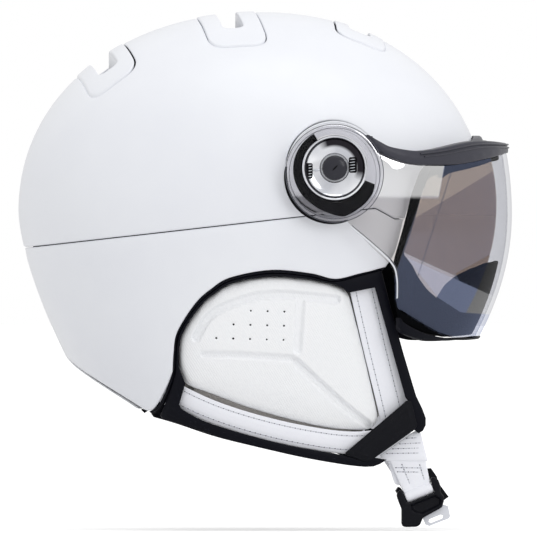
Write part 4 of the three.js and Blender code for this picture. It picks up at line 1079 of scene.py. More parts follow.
def build_face_seal():
    points, faces = lens_layer(seal_loop(SEAL_OUTER), [seal_loop(SEAL_INNER)], 2.6, 2.6, 0.8, 3, SEAL_INSET)
    make("visor_face_seal", points, faces, SEAL_FOAM, "visor", "black_rubber", ("visor_seal",), 50)


def build_lower_lip():
    """The rubber lip under the screen, tallest at the sides and thin at the front."""
    lip = smooth([(73.4, 121), (77, 117.4), (88.5, 112.0), (101, 109.4), (112, 108.9), (120, 109.3)], 40)
    nose = (lens_nose(110.2), 110.2)
    under = [(x, z - float(np.interp(x, (74, 90, 99, 108), (6.4, 4.0, 2.0, 0.8)))) for x, z in lip]
    half = lens_half([(nose[0], 109.5), *under[::-1], *lip, nose], RIGHT)
    points, faces = lens_layer(mirrored(half), (), 1.6, 4.6, 0.9, 3, -0.7)
    make("visor_lower_lip", points, faces, RUBBER, "visor", "black_rubber", (), 50)


# Profiles of the pivot's turned parts, as (radius, |y|).
SEAT = [(3.4, 96), (26.6, 96), (27, 96.4), (27, 103.6), (26.6, 104), (7.9, 104), (7.9, 112.2), (3.4, 112.2)]
LID = [(19.4, 111.9), (25.8, 111.9), (26.8, 110.1), (28.0, 110.1), (28.2, 110.6), (28.0, 112.6),
       (27.5, 113.4), (26.4, 113.6), (26.0, 114.4), (24.8, 115.1), (23.9, 114.9), (21.4, 116.4),
       (20.0, 116.8), (19.4, 116.3)]
DISH_RIM = [(8.4, 111.9), (18.4, 111.9), (18.7, 112.3), (18.7, 116.2), (18.4, 116.7), (17.7, 116.8),
            (17.2, 116.4)]
CAP = [(0.4, 97), (2.8, 97), (3, 97.3), (3, 112.8), (6.8, 112.8), (7.2, 113.3), (7.2, 116.2), (6.9, 117.0),
       (6.0, 117.7), (4.4, 118.2), (2.4, 118.5), (0.4, 118.6)]
FLOOR_RADII, FLOOR_LEVELS = (8.6, 12.4, 14.6, 16.4), (113.4, 113.8, 114.4, 115.3)
LID_LINES = (("rim", 28.1, 112.9, 0.22), ("step", 26.1, 114.1, 0.16))


def dish_floor(r):
    """|y| of the dish's hollow at a radius."""
    return np.interp(r, FLOOR_RADII, FLOOR_LEVELS)


def lid_drop(r):
    """How far the clear lid's circle of this radius hangs under the pivot axis."""
    return LID_DROP * min(1.0, max(0.0, (r - 20.0) / 6.0))


def build_pivots():
    for side, word in SIDES:
        def turn(name, profile, material, body, slot, replaces=(), segments=96, drop=zero):
            points, faces = lathe(PIVOT_X, PIVOT_Z, side, profile, segments, drop)
            make(f"{name}_{word}", points, faces, material, body, slot, replaces, 30)

        turn("pivot_seat", SEAT, PAINT, "shell", "shell_white", (f"pivot_base_{word}",))
        build_click_ring(side, word)
        turn("pivot_lid", LID, CLEAR, "visor", "clear_plastic", (f"pivot_cover_{word}",), 128, lid_drop)
        for name, r, y, width in LID_LINES:
            ring = [(r + width * math.cos(t), y + width * math.sin(t)) for t in turns(6)]
            turn(f"pivot_lid_{name}", ring, RIM_GREY, "visor", "black_plastic", (), 128, lid_drop)
        floor = [(r, float(dish_floor(r))) for r in FLOOR_RADII[::-1]]
        dish = [*DISH_RIM, *floor, (8.4, 113.2)]
        turn("pivot_dish", dish, DISH_CHROME, "visor", "chrome", (f"pivot_dial_{word}",), 128)
        turn("pivot_cap", CAP, GLOSS_BLACK, "shell", "black_plastic", (f"pivot_screw_{word}",))
        # painted shade: the cap's slot is a dark bead standing in for the shade in its groove
        groove_line = bead((PIVOT_X, side * 118.45, PIVOT_Z), (0.7, 0, 0.7), (0.7, 0, -0.7), 4.4, 1.0, 0.7)
        make(f"pivot_cap_slot_{word}", *groove_line, PORE_SHADOW, "shell", "black_plastic")
        build_dish_windows(side, word)
        build_lid_shadow_ring(side, word)


def pivot_arc(side, start, end, count, section_at, drop=0.0):
    """A body round part of the pivot. section_at(degrees) gives its section there, as (radius, |y|)."""
    rings = []
    for degrees in np.linspace(start, end, count):
        c, s = math.cos(math.radians(degrees)), math.sin(math.radians(degrees))
        rings.append([(PIVOT_X + r * c, side * y, PIVOT_Z - drop + r * s) for r, y in section_at(degrees)])
    return loft(rings)


def build_lid_shadow_ring(side, word):
    """A black ring of painted shade, for the shadow gap under the lid's lower rear rim, tapered to nothing at
    both ends.
    """
    start, end = 172, 286

    def section_at(degrees):
        fat = 0.1 + 0.75 * math.sin(math.pi * (degrees - start) / (end - start)) ** 0.7
        middle = DISC_R - 1.3 + fat
        inner, outer = middle - fat - 0.6, middle + fat * 0.8
        return [(inner, 109.2), (outer, 109.2), (outer, 110.4), (inner, 110.6)]

    points, faces = pivot_arc(side, start, end, 60, section_at, LID_DROP)
    make(f"pivot_lid_gasket_{word}", points, faces, CLICK_BLACK, "visor", "black_rubber", (), 30)


def build_click_ring(side, word):
    """The dark click ring under the clear lid, open at the upper front and widest at the bottom."""
    inner, foot, top = 18.6, 109.95, 111.6

    def section_at(degrees):
        outer = float(np.interp(degrees, (121, 240, 262, 281, 300, 325, 338),
                                (22.9, 24.4, 26, 28.4, 27.2, 26.4, 25)))
        return [(inner, foot), (outer, foot), (outer, top - 0.4), (outer - 0.6, top), (inner, top)]

    points, faces = pivot_arc(side, 121, 338, 90, section_at)
    replaces = (f"pivot_washer_{word}",)
    make(f"click_ring_{word}", points, faces, CLICK_BLACK, "visor", "black_rubber", replaces, 30)


def build_dish_windows(side, word):
    """Two ribbed windows in the dish, behind and ahead of the cap, and the spring arm beside the rear one."""
    panes, ribs = [], []
    for x, z, width, height in ((-14.6, -1.7, 4.0, 9.0), (10.4, 1.7, 4.6, 9.0)):
        corners = [(x + a * width / 2, z + b * height / 2) for a, b in ((-1, -1), (1, -1), (1, 1), (-1, 1))]
        uvd, faces, _ = plate(rounded(corners, 1.2), spacing=0.9, thick=0.7, edge=0.2)
        u, v, depth = uvd.T
        level = dish_floor(np.hypot(u, v)) + 0.35 - depth
        panes.append((np.stack([PIVOT_X + u, side * level, PIVOT_Z + v], -1), faces))
        for k in range(5):
            rise = z + (k - 2) * height * 0.18
            centre = np.array([PIVOT_X + x, side * (dish_floor(math.hypot(x, rise)) + 0.35), PIVOT_Z + rise])
            ribs.append(bead(centre, (1, 0, 0.12), (-0.12, 0, 1), width * 0.8, 0.55, 0.5))
    points, faces = merged(panes)
    make(f"dish_windows_{word}", points, faces, CLICK_BLACK, "visor", "black_plastic", (), 40)
    arm = bead((PIVOT_X - 10.2, side * 114.3, PIVOT_Z - 1.2), (1, 0, 0.08), (-0.08, 0, 1), 4.4, 1.5, 1.2)
    points, faces = merged([*ribs, arm])
    make(f"dish_ribs_{word}", points, faces, STEEL, "visor", "chrome", (), 60)


# ---------------------------------------------------------------- brow gasket

def face_edge_height(angle):
    """The height of the face opening's edge at a plan angle."""
    edge = [(math.atan2(float(shell_y(x, z)), x - SHELL_X), z) for x, z in FACE_LINE]
    return np.interp(np.abs(angle), [p[0] for p in edge], [p[1] for p in edge])


def build_brow_gasket():
    """The gasket along the brow, which stands out furthest in the middle and thins out at its two ends."""
    end = 0.66
    rings = []
    for angle in np.linspace(-end, end, 90):
        low = float(face_edge_height(angle)) - 4.5
        reach = 8 - 3.5 * abs(angle / end)
        fade = min(1, (end - abs(angle)) / 0.06 + 0.25)
        profile = [(0, -1), (0, -reach + 0.8), (0.8, -reach), (2.6, -reach), (3.2, -reach + 0.6),
                   (3.4, -reach + 2.4), (5.2, -reach + 2.6), (6, -reach + 3.4), (6, -1)]
        rings.append([shell_point(np.array(angle), np.array(low + up * fade), min(-1, deep))
                      for up, deep in profile])
    points, faces = loft(rings)
    make("brow_seal", points, faces, TRIM, "shell", "trim_rubber", ("brow_gasket",), 40)


# ---------------------------------------------------------------- ear flaps

FLAP_MIDDLE = (5, 100)


def drawn_in(distance, start=0, stop=-1):
    """The ear edge's points pulled towards the middle of the flap."""
    out = []
    for x, z in EAR_EDGE[start:stop]:
        dx, dz = x - FLAP_MIDDLE[0], z - FLAP_MIDDLE[1]
        size = math.hypot(dx, dz)
        out.append((x - distance * dx / size, z - distance * dz / size))
    return out


ARCH_INNER = [*drawn_in(3.7, 2), (-53, 92)]
PAD_TOP = [*drawn_in(3.0, 2), (-53, 91), (-49.4, 83.2)]
PAD_LOW = [(-44, 80.4), (-34, 77.0), (-14.3, 69.6), (8.6, 62.8), (31.5, 57.6), (46, 56.4)]
PAD_FRONT = [(57.6, 56.2), (62.8, 61.2), (52.5, 104), (44.4, 135), (40.6, 139)]
RIM_CHANNEL = [(-43.6, 109.6), (-34.4, 123.5), (-13.5, 132.2), (2.5, 134.3), (24, 132.8), (37, 131.4)]
LEVEL_CHANNEL = [(-39, 99.9), (-20, 99.6), (0, 98.4), (11.5, 97.6)]
UPRIGHT_CHANNEL = [(16.1, 131.7), (15.2, 118), (14.4, 102.7)]
SLANT_CHANNEL = [(13.8, 95.7), (28.6, 82), (42.6, 69.6), (56.4, 59.2)]
CHANNELS = ((RIM_CHANNEL, 3.0, 1.4), (LEVEL_CHANNEL, 2.4, 0.8), (UPRIGHT_CHANNEL, 2.2, 1.5),
            (SLANT_CHANNEL, 2.8, 1.2))  # each with its depth and half-width


def on_flap(name, outline, side, word, inset, material, slot, replaces, sharp, spacing, thick, edge, steps=3):
    """A plate laid on the flap's surface, its outer face at an inset, which may be a function of each point's
    distance from the outline and its depth. Names and replaced nodes get the side's word."""
    uvd, faces, away = plate(outline, spacing=spacing, thick=thick, edge=edge, steps=steps)
    x, z, depth = uvd.T
    if callable(inset):
        inset = inset(away, depth)
    points = np.stack([x, side * flap_y(x, z, inset + depth), z], -1)
    replaces = tuple(f"{node}_{word}" for node in replaces)
    make(f"{name}_{word}", points, faces, material, f"flap_{word}", slot, replaces, sharp)


def build_flap_frame(side, word):
    """The black frame round the flap, open above the front strap, with a ridge along its middle."""
    outer = [*smooth(drawn_in(2), 60), (-55.2, 90), (-58.4, 79), (-63.4, 64.4)]
    outer += smooth([(-62, 62.6), (-48.8, 58.8), (-25.9, 51.2), (-2.9, 45.4), (19.9, 40.3), (43, 36.3),
                     (54.5, 35.1)], 24)
    outer += [(59.2, 35.3), (63, 36.7), (67, 39.2), (59, 40.6), (55.2, 38.6), (41.6, 41.9)]
    inner = smooth([(26.9, 44.6), (8.6, 48), (-14.3, 53.8), (-38.7, 61.6), (-51.5, 68.6)], 16)
    inner += [(-53, 71), (-49.6, 83.2)]
    inner += [*smooth(ARCH_INNER, 40)[::-1], (39, 138.9), (44, 135.4), (59.2, 138.4)]
    inner += [(68.8, 105), (77.4, 75.4), (78.8, 73.4), (82.6, 59.4), (82.6, 56.6), (85.4, 54.4)]
    inner += [(88, 55.8), (89.6, 59), (89.6, 63.2), (87.4, 68.8), (83.8, 76), (76.2, 100.5), (69.3, 124.5),
              (63.2, 147.6)]

    def inset(away, depth):
        return 1.9 - 0.5 * np.clip((away - 1.1) / 0.4, 0, 1) * (depth < 1.3)

    on_flap("flap_edge", outer + inner, side, word, inset, RUBBER, "black_rubber", ("flap_frame",), 40,
            spacing=1.8, thick=2.7, edge=0.7)


def build_ear_hem(side, word):
    """The black rubber bead that hems the lower shell round the ear opening and up to its rear corner."""
    corner = [(-60.2, 79.6), (-65, 70.4), (-69.6, 67)]
    profile = [(0.05, 5.4), (0.05, 1.5), (0.6, 0.95), (1.2, 0.95), (1.65, 1.5), (1.75, 2.4), (1.7, 4.7),
               (2.8, 4.9), (2.8, 5.4)]
    columns = []
    for out, deep in profile:
        turned = [(x + 0.7 * out, z - 0.7 * out) for x, z in corner]
        line = smooth([*drawn_in(out, 0, None), *turned], 150)
        columns.append([(x, side * float(shell_y(x, z, deep)), z) for x, z in line])
    points, faces = loft(list(zip(*columns)))
    make(f"ear_hem_{word}", points, faces, RUBBER, "shell", "black_rubber", (), 40)


def distance_to_line(x, z, line):
    """Distance in the side view from each point to a run of straight steps."""
    best = np.full(len(x), 1e9)
    line = np.array(line)
    for a, b in zip(line, line[1:]):
        d = b - a
        t = np.clip(((x - a[0]) * d[0] + (z - a[1]) * d[1]) / (d @ d), 0, 1)
        best = np.minimum(best, np.hypot(x - a[0] - t * d[0], z - a[1] - t * d[1]))
    return best


def perforations():
    """The ear pad's three rows of small holes, one more hole in each row down."""
    spots = []
    for row, count in enumerate((3, 4, 5)):
        for k in range(count):
            spots.append((6.8 - 9.6 * k - 0.2 * row, 124.7 - 8.1 * row + 0.25 * k))
    return spots


def simulate(piece, pressure, pinned, cap, frames=20):
    """Where cloth under pressure puts a closed soft piece's points, each moved by no more than the cap."""
    bpy.context.view_layer.update()
    before = np.array([v.co for v in piece.data.vertices], float)
    cloth = piece.modifiers.new("cloth", "CLOTH")
    cloth.settings.use_pressure = True
    cloth.settings.uniform_pressure_force = pressure
    cloth.settings.effector_weights.gravity = 0
    cloth.settings.quality = 5
    cloth.settings.tension_stiffness = 20
    cloth.settings.compression_stiffness = 20
    cloth.settings.bending_stiffness = 0.4
    group = piece.vertex_groups.new(name="pinned")
    for index, weight in enumerate(pinned):
        if weight > 0:
            group.add([index], float(weight), "REPLACE")
    cloth.settings.vertex_group_mass = "pinned"
    cloth.point_cache.frame_end = frames
    scene = bpy.context.scene
    for step in range(1, frames + 1):
        scene.frame_set(step)
    evaluated = piece.evaluated_get(bpy.context.evaluated_depsgraph_get())
    after = np.array([v.co for v in evaluated.data.vertices], float)
    piece.modifiers.remove(cloth)
    scene.frame_set(1)
    shift = after - before
    size = np.linalg.norm(shift, axis=1, keepdims=True)
    shift *= np.minimum(1, cap / np.maximum(size, 1e-9))
    return before + shift


def relax(points, faces, times):
    """Evens out small ripples by moving each point part of the way to its neighbours' middle."""
    edges = set()
    for face in faces:
        for a, b in zip(face, face[1:] + face[:1]):
            edges.add((min(a, b), max(a, b)))
    edges = np.array(sorted(edges))
    count = np.zeros(len(points))
    np.add.at(count, edges[:, 0], 1)
    np.add.at(count, edges[:, 1], 1)
    for _ in range(times):
        total = np.zeros_like(points)
        np.add.at(total, edges[:, 0], points[edges[:, 1]])
        np.add.at(total, edges[:, 1], points[edges[:, 0]])
        points = points + 0.5 * (total / count[:, None] - points)
    return points


RELAX_TIMES = 2


def subdivide(piece):
    subdivision = piece.modifiers.new("subdivide", "SUBSURF")
    subdivision.levels = subdivision.render_levels = 1
    bake_modifiers(piece)
    piece.data.shade_smooth()


def cushion(name, points, faces, material, body, slot, replaces, voxel, pressure, cap, pin):
    """A padded piece: remeshed evenly, inflated with cloth while the pinned part holds still, then
    subdivided."""
    piece = make(name, points, faces, material, body, slot, replaces, 180)
    piece.parent = None
    remesh = piece.modifiers.new("remesh", "REMESH")
    remesh.mode = "VOXEL"
    remesh.voxel_size = voxel * MM
    bake_modifiers(piece)
    rest = np.array([v.co for v in piece.data.vertices], float) / MM
    moved = simulate(piece, pressure, pin(rest), cap * MM)
    rings = [list(p.vertices) for p in piece.data.polygons]
    set_points(piece, relax(moved, rings, RELAX_TIMES))
    subdivide(piece)
    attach(piece, body)
    return piece


def bake_modifiers(piece):
    evaluated = piece.evaluated_get(bpy.context.evaluated_depsgraph_get())
    mesh = bpy.data.meshes.new_from_object(evaluated)
    materials = list(piece.data.materials)
    piece.modifiers.clear()
    piece.data = mesh
    mesh.materials.clear()
    for material in materials:
        mesh.materials.append(material)


def set_points(piece, points):
    piece.data.vertices.foreach_set("co", np.asarray(points, np.float32).ravel())
    piece.data.update()


def get_points(piece):
    co = np.zeros(len(piece.data.vertices) * 3, np.float32)
    piece.data.vertices.foreach_get("co", co)
    return co.reshape(-1, 3).astype(float)


def pad_outline(shrink):
    front = rounded([PAD_LOW[-1], *PAD_FRONT, PAD_TOP[0]], 4)[5:-5]
    loop = np.array(smooth(PAD_TOP, 60) + smooth(PAD_LOW, 30) + front)
    return [tuple(p) for p in moved_in(turned_loop(loop, True), shrink)]


def valley(away, half_width, wall):
    """A flat-bottomed valley: 1 along its floor, falling to 0 over the width of its wall."""
    t = np.clip((half_width + wall - away) / wall, 0, 1)
    return t * t * (3 - 2 * t)


def build_ear_pad(side, word):
    """The padded leather ear cup: a crowned cushion drawn in along its sewn channels."""
    thick, height = 14, 2.9
    outline = pad_outline(0.1)
    uvd, faces, away = plate(outline, spacing=3.0, thick=thick, edge=2.4, steps=4)
    x, z, depth = uvd.T
    crown = height * np.clip(away / thick, 0, 1) ** 0.5 * (1 - depth / thick)
    points = np.stack([x, side * flap_y(x, z, 5.1 + depth - crown), z], -1)

    def pin(rest):
        inset = flap_y(rest[:, 0], rest[:, 2]) - np.abs(rest[:, 1])
        edge = distance_to_points(rest[:, [0, 2]], np.array(outline))
        return np.clip(np.maximum((inset - 8) / 4, 1 - edge / 3), 0, 1)

    piece = cushion(f"ear_cushion_{word}", points, faces, LEATHER, f"flap_{word}", "leather_white",
                    (f"ear_pad_{word}",), 2.6, 5.0, 4.0, pin)
    subdivide(piece)
    rest = get_points(piece) / MM
    x, z = rest[:, 0], rest[:, 2]
    inset = flap_y(x, z) - np.abs(rest[:, 1])
    outside = np.clip((12 - inset) / 4, 0, 1)
    sink = np.zeros(len(rest))
    for line, deep, half_width in CHANNELS:
        away = distance_to_line(x, z, smooth(line, 30))
        sink = np.maximum(sink, deep * valley(away, half_width, 1.5))
    for px, pz in perforations():
        sink = sink + 0.5 * np.exp(-(np.hypot(x - px, z - pz) / 0.9) ** 2)
    rest[:, 1] -= side * sink * outside
    set_points(piece, rest * MM)
    build_perforations(piece, side, word)
    return piece


def build_gap_lining(side, word):
    """The strip of lining seen between the ear pad and the rear strap."""
    low = [(46, 52), (31.5, 52), (8.6, 56.5), (-14.3, 62.5), (-34, 69.5), (-46, 75)]
    on_flap("gap_lining", [*PAD_LOW, *low], side, word, 8.4, PALE_FLEECE, "lining_grey", (), 60,
            spacing=2.5, thick=1.2, edge=0.4)


def build_perforations(piece, side, word):
    """Small dimples coloured near black as painted shade for the pad's holes, set on the pad's own outer
    face, found by a ray from the side.
    """
    bpy.context.view_layer.update()
    parts = []
    for x, z in perforations():
        hit, place, _, _ = piece.ray_cast(Vector((x * MM, side * 0.2, z * MM)), Vector((0, -side, 0)))
        if not hit:
            continue
        centre = np.array(place) / MM
        rings = []
        for r, deep in ((0.05, 0.14), (0.7, 0.1), (0.8, -0.25), (0.05, -0.5)):
            rings.append([(centre[0] + r * math.cos(t), centre[1] + side * deep, centre[2] + r * math.sin(t))
                          for t in turns(14)])
        parts.append(loft(rings))
    points, faces = merged(parts)
    make(f"ear_perforations_{word}", points, faces, PORE_SHADOW, f"flap_{word}", "leather_white")


FRONT_LINE = [(52.9, 146), (53.9, 138), (61.5, 106), (69.2, 76), (72.1, 64), (73.5, 57)]
REAR_LINE = [(-58.5, 79.5), (-50.5, 74.5), (-34, 67), (-14.3, 60.4), (8.3, 54.6), (31.5, 50.4), (48, 49),
             (62, 50)]


def build_flap_straps(side, word):
    body = f"flap_{word}"
    strap(f"front_strap_{word}", Ribbon(FRONT_LINE, flap_y), 18.2, 7.5, 1.7, side, body,
          (f"flap_front_strap_{word}",), (-5.8, 3.6), creases=(-8.0,))
    strap(f"rear_strap_{word}", Ribbon(REAR_LINE, flap_y), 13.0, 5.3, 1.7, side, body,
          (f"flap_rear_strap_{word}",), (-4.0, 4.0))


def build_divider(side, word):
    """The black corner keeper that covers the meeting of the two straps, with a raised panel and a fine
    groove."""
    outline = rounded([(42.0, 42.7), (78.6, 73.6), (81, 73), (84.6, 58.8), (83, 56.4), (57, 38.2),
                       (53, 38.2)], 2.0)

    def inset(away, depth):
        panel = 0.55 * np.clip((away - 2.4) / 0.5, 0, 1) - 0.35 * valley(np.abs(away - 4.6), 0.3, 0.5)
        return 1.1 - panel * (depth < 1.7)

    on_flap("corner_keeper", outline, side, word, inset, BLACK, "black_plastic", ("divider_cover",), 40,
            spacing=0.9, thick=3.4, edge=0.8, steps=4)


# ---------------------------------------------------------------- chin strap

def hang(points, side):
    """The left strap's points turned forward about the line on which the chin strap folds."""
    points = np.array(points, float)
    if side == RIGHT:
        return points
    c, s = math.cos(LEFT_HANG), math.sin(LEFT_HANG)
    x, z = points[..., 0] - HINGE_X, points[..., 2] - HINGE_Z
    return np.stack([HINGE_X + x * c - z * s, points[..., 1], HINGE_Z + x * s + z * c], -1)


def on_bar(u, v):
    """The x and z of a point u along the buckle's bar and v above it."""
    c, s = math.cos(BUCKLE_TILT), math.sin(BUCKLE_TILT)
    return BUCKLE_X + u * c - v * s, BUCKLE_Z + u * s + v * c


def no_swell(x, z):
    return 0 * x


def over_bar(x, z):
    """How far the band swells outward as it goes round the buckle's bar."""
    c, s = math.cos(BUCKLE_TILT), math.sin(BUCKLE_TILT)
    up = -(x - BUCKLE_X) * s + (z - BUCKLE_Z) * c
    return 2.5 * np.clip(1 - (up - 0.5) / 8.5, 0, 1) ** 2


def flat_piece(name, outline, side, y_from, thick, body, replaces=(), crown=0.0, rows=(), creases=(),
               swell=no_swell):
    """A flat leather piece in an upright fore-and-aft plane, its outer face y_from outward of the strap's
    plane, with a straight row of stitches along each of the rows."""
    uvd, faces, away = plate(outline, spacing=1.2, thick=thick, edge=thick * STRAP_EDGE, steps=3)
    x, z, depth = uvd.T
    rise = crown * np.clip(away / 4, 0, 1)
    for line in rows:
        rise = rise - groove(distance_to_line(x, z, line), 0.34, 0.7)
    for line in creases:
        rise = rise - groove(distance_to_line(x, z, line), 0.4, 0.5)
    y = STRAP_Y + y_from + swell(x, z) - depth + rise * (1 - depth / thick)
    points = hang(np.stack([x, side * y, z], -1), side)
    make(name, points, faces, STRAP_LEATHER, body, "leather_white", replaces, 50)
    level = STRAP_Y + y_from + crown - 0.32
    runs = []
    for a, b in np.array(rows, float):
        length = np.linalg.norm(b - a)
        spots = [a + (b - a) * walked / length for walked in np.arange(1.2, length - 0.6, STITCH_STEP)]
        runs.append(hang([(x, side * (level + float(swell(x, z))), z) for x, z in spots], side))
    if runs:
        sew(name, runs, (0, side, 0), body)


def build_chin_strap(side, word):
    body = f"strap_{word}"
    patch = rounded([(62.8, 41.4), (66.8, 38.2), (91, 38.2), (87, 54.6), (84.4, 56.2), (82, 54.8)], 1.6)
    rows = [[(77.6, 51.4), (87.2, 52.0)], [(73.6, 48.2), (88.0, 48.9)], [(69.6, 45.4), (88.7, 46.0)],
            [(66.2, 42.7), (89.4, 43.1)]]
    flat_piece(f"chin_patch_{word}", patch, side, 1.5, 2.2, body, (f"chin_strap_{word}",), 0.3, rows)
    band = rounded([(67.9, 41), (89.7, 39), (92.3, 26.1), (77.1, 19.9)], 1.0)
    rows = [[(75.6, 37.4), (81.9, 22.0)], [(86.0, 37.2), (89.3, 26.2)], [(71.4, 34.6), (88.9, 34.4)],
            [(72.4, 32.2), (89.2, 32.0)]]
    creases = [[(70.6, 36.4), (89.6, 36.2)]]
    flat_piece(f"chin_band_{word}", band, side, 0.8, 1.6, body, (), 0.25, rows, creases, over_bar)
    tuck = 0.0 if side == RIGHT else LEFT_TAIL_TUCK
    tail = [(67.9, 38.2), (74, 38.2), (77.2, 27.6), (75.4, 24.8), (73, 24.5), (71.6, 26.2)]
    tail = rounded([(x + tuck, z) for x, z in tail], 1.2)
    flat_piece(f"chin_tail_{word}", tail, side, -1.3, 1.6, body, (f"chin_strap_tail_{word}",))
    build_strap_loop(side, word)


def build_strap_loop(side, word):
    """The leather loop round the buckle's bar, rounded off at its ends."""
    half = [(0, 3.5), (4, 3.5), (7.2, 3.45), (7.9, 3.3), (8.2, 3.0)]
    rings = []
    for u, r in [(-u, r) for u, r in half[:0:-1]] + half:
        ring = []
        for t in turns(28):
            x, z = on_bar(u, r * math.sin(t))
            ring.append((x, side * STRAP_Y + r * math.cos(t), z))
        rings.append(hang(ring, side))
    points, faces = loft(rings)
    make(f"chin_loop_{word}", points, faces, STRAP_LEATHER, f"strap_{word}", "leather_white", (), 50)


BUCKLE_OUTLINE = [(73.9, 15.6), (72.9, 18.8), (74, 21), (75.5, 21.5), (76.2, 20.7), (79.2, 13.8),
                  (95.1, 20.2), (92.4, 27.7), (93.2, 29), (95.2, 29), (97, 27.5), (98.2, 24), (98.1, 20.6),
                  (100.2, 17.9), (100.2, 15.4), (99.1, 11.7), (88, 5.6), (86.4, 1.6), (84.4, 0.5),
                  (78.2, 0.3), (76.6, 0.7), (75.8, 2.3), (75.8, 10.9)]
BUCKLE_HOLLOW = [(80.6, 13.0), (95.2, 18.9), (98.9, 16.6), (98.2, 13.1), (88, 7.8), (82.2, 9.2)]
BUCKLE_THICK, HOLLOW_DEEP, HOLLOW_WALL = 7.6, 2.0, 0.9
BAR_R, BAR_HALF = 1.5, 9.6


def build_buckle():
    """The right buckle's body: two arms either side of the strap, the bar between them, and a hollow face."""
    uvd, faces, _ = plate(rounded(BUCKLE_OUTLINE, 0.9, 3), spacing=0.7, thick=BUCKLE_THICK, edge=0.9, steps=4)
    x, z, depth = uvd.T
    wall = distance_to_line(x, z, BUCKLE_HOLLOW + BUCKLE_HOLLOW[:1])
    in_hollow = inside(uvd[:, :2], np.array(BUCKLE_HOLLOW)) * (depth < BUCKLE_THICK / 2)
    sunk = HOLLOW_DEEP * np.clip(wall / HOLLOW_WALL, 0, 1) * in_hollow
    body = (np.stack([x, -(STRAP_Y + BUCKLE_THICK / 2 - depth - sunk), z], -1), faces)
    rings = []
    for u in (-BAR_HALF, BAR_HALF):
        ring = []
        for t in turns(20):
            x, z = on_bar(u, BAR_R * math.sin(t))
            ring.append((x, -STRAP_Y + BAR_R * math.cos(t), z))
        rings.append(ring)
    points, faces = merged([body, loft(rings)])
    make("buckle_body_right", points, faces, BLACK, "tongue_right", "black_plastic", ("adjuster_right",), 40)


# ---------------------------------------------------------------- inner pads

RADIAN_WIDTH = 90.0  # millimetres of flat width for each radian, round the inside of the foam


def soft_patch(name, angles, heights, inset, thick, body, replaces, lift):
    """A cushion under the foam between two plan angles and two heights, raised by lift(angle)."""
    low, high = (angle * RADIAN_WIDTH for angle in angles)
    bottom, top = heights
    outline = rounded([(low, bottom), (high, bottom), (high, top), (low, top)], 7)
    uvd, faces, _ = plate(outline, spacing=4.0, thick=thick, edge=1.6, steps=3)
    u, z, depth = uvd.T
    angle = u / RADIAN_WIDTH
    points = shell_point(angle, z + lift(angle), inset + depth)

    def pin(rest):
        a = np.arctan2(rest[:, 1], rest[:, 0] - SHELL_X)
        out = shell_point(a, rest[:, 2], inset)
        gap = np.hypot(out[:, 0] - rest[:, 0], out[:, 1] - rest[:, 1])
        return np.clip(1.4 - gap / (thick * 0.55), 0, 1)

    cushion(name, points, faces, FLEECE, body, "lining_grey", replaces, 3.4, 4.0, 3.0, pin)


def build_brow_pad():
    def along_edge(angle):
        return face_edge_height(angle) - FACE_EDGE[0][1]

    soft_patch("brow_cushion", (-0.74, 0.74), (229, 249), 28.0, 4.6, "shell", ("brow_pad",), along_edge)


def build_side_pads():
    for side, word in SIDES:
        angles = sorted((side * 1.16, side * 2.09))
        replaces = (f"side_pad_{word}",)
        soft_patch(f"side_cushion_{word}", angles, (177, 213), 28.2, 4.2, "shell", replaces, zero)


def build_crown_pad():
    """The round pad under the roof, from just inside the foam down to the CAD pad's flat underside."""
    low, high = (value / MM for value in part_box("crown_pad"))
    middle, r = (low[0] + high[0]) / 2, (high[0] - low[0]) / 2 - 1.5
    uvd, faces, _ = plate(arc(middle, 0, r, 0, 360, 60)[:-1], spacing=4, thick=1.0, edge=0.45)
    x, y, depth = uvd.T
    roof = shell_top(x, y, 28.6)
    base = low[2] + 0.6
    points = np.stack([x, y, roof + (base - roof) * np.clip(depth, 0, 1)], -1)

    def pin(rest):
        return np.clip((rest[:, 2] - base - 2) / 3, 0, 1)

    cushion("crown_cushion", points, faces, FLEECE, "shell", "lining_grey", ("crown_pad",), 3.6, 3.0, 2.0,
            pin)


LINING_LOW = [(-46, 78), (-30, 66), (-5, 57), (25, 50), (46, 50), (62, 62), (68, 74), (66, 100), (58, 134)]


def build_ear_lining(side, word):
    """The fleece inside the ear flap, puffed towards the ear."""
    outline = smooth(drawn_in(6.6, 2), 40) + rounded([PAD_TOP[-1], *LINING_LOW, PAD_TOP[0]], 5)[5:-5]
    thick = 1.6

    def inset(away, depth):
        return 21.4 + 0.8 * np.clip(away / 10, 0, 1) * (depth / thick)

    on_flap("ear_fleece", outline, side, word, inset, FLEECE, "lining_grey", ("ear_lining",), 60,
            spacing=3.0, thick=thick, edge=0.7)


# ---------------------------------------------------------------- carried-over CAD pieces

CAD_FINISH = {
    "foam_liner": FOAM, "nape_pad": RUBBER, "latch_tongue": TAG_STEEL, "release_button": TRIM,
    "cradle_pin_right": STEEL, "cradle_pin_left": STEEL,
}
for name in ("cradle_yoke", "dial_housing", "fit_dial", "adjuster_band_right", "adjuster_band_left",
             "vent_grille_rear", "vent_grille_top", "vent_grille_front", "buckle_housing_left"):
    CAD_FINISH[name] = BLACK
for _, word in SIDES:
    CAD_FINISH[f"strap_rivet_front_{word}"] = STEEL
    CAD_FINISH[f"strap_rivet_rear_{word}"] = STEEL
SOFT_EDGE = {"buckle_housing_left": 0.7, "release_button": 0.5, "latch_tongue": 0.25,
             "dial_housing": 0.6, "fit_dial": 0.3, "cradle_yoke": 0.5, "nape_pad": 1.4}


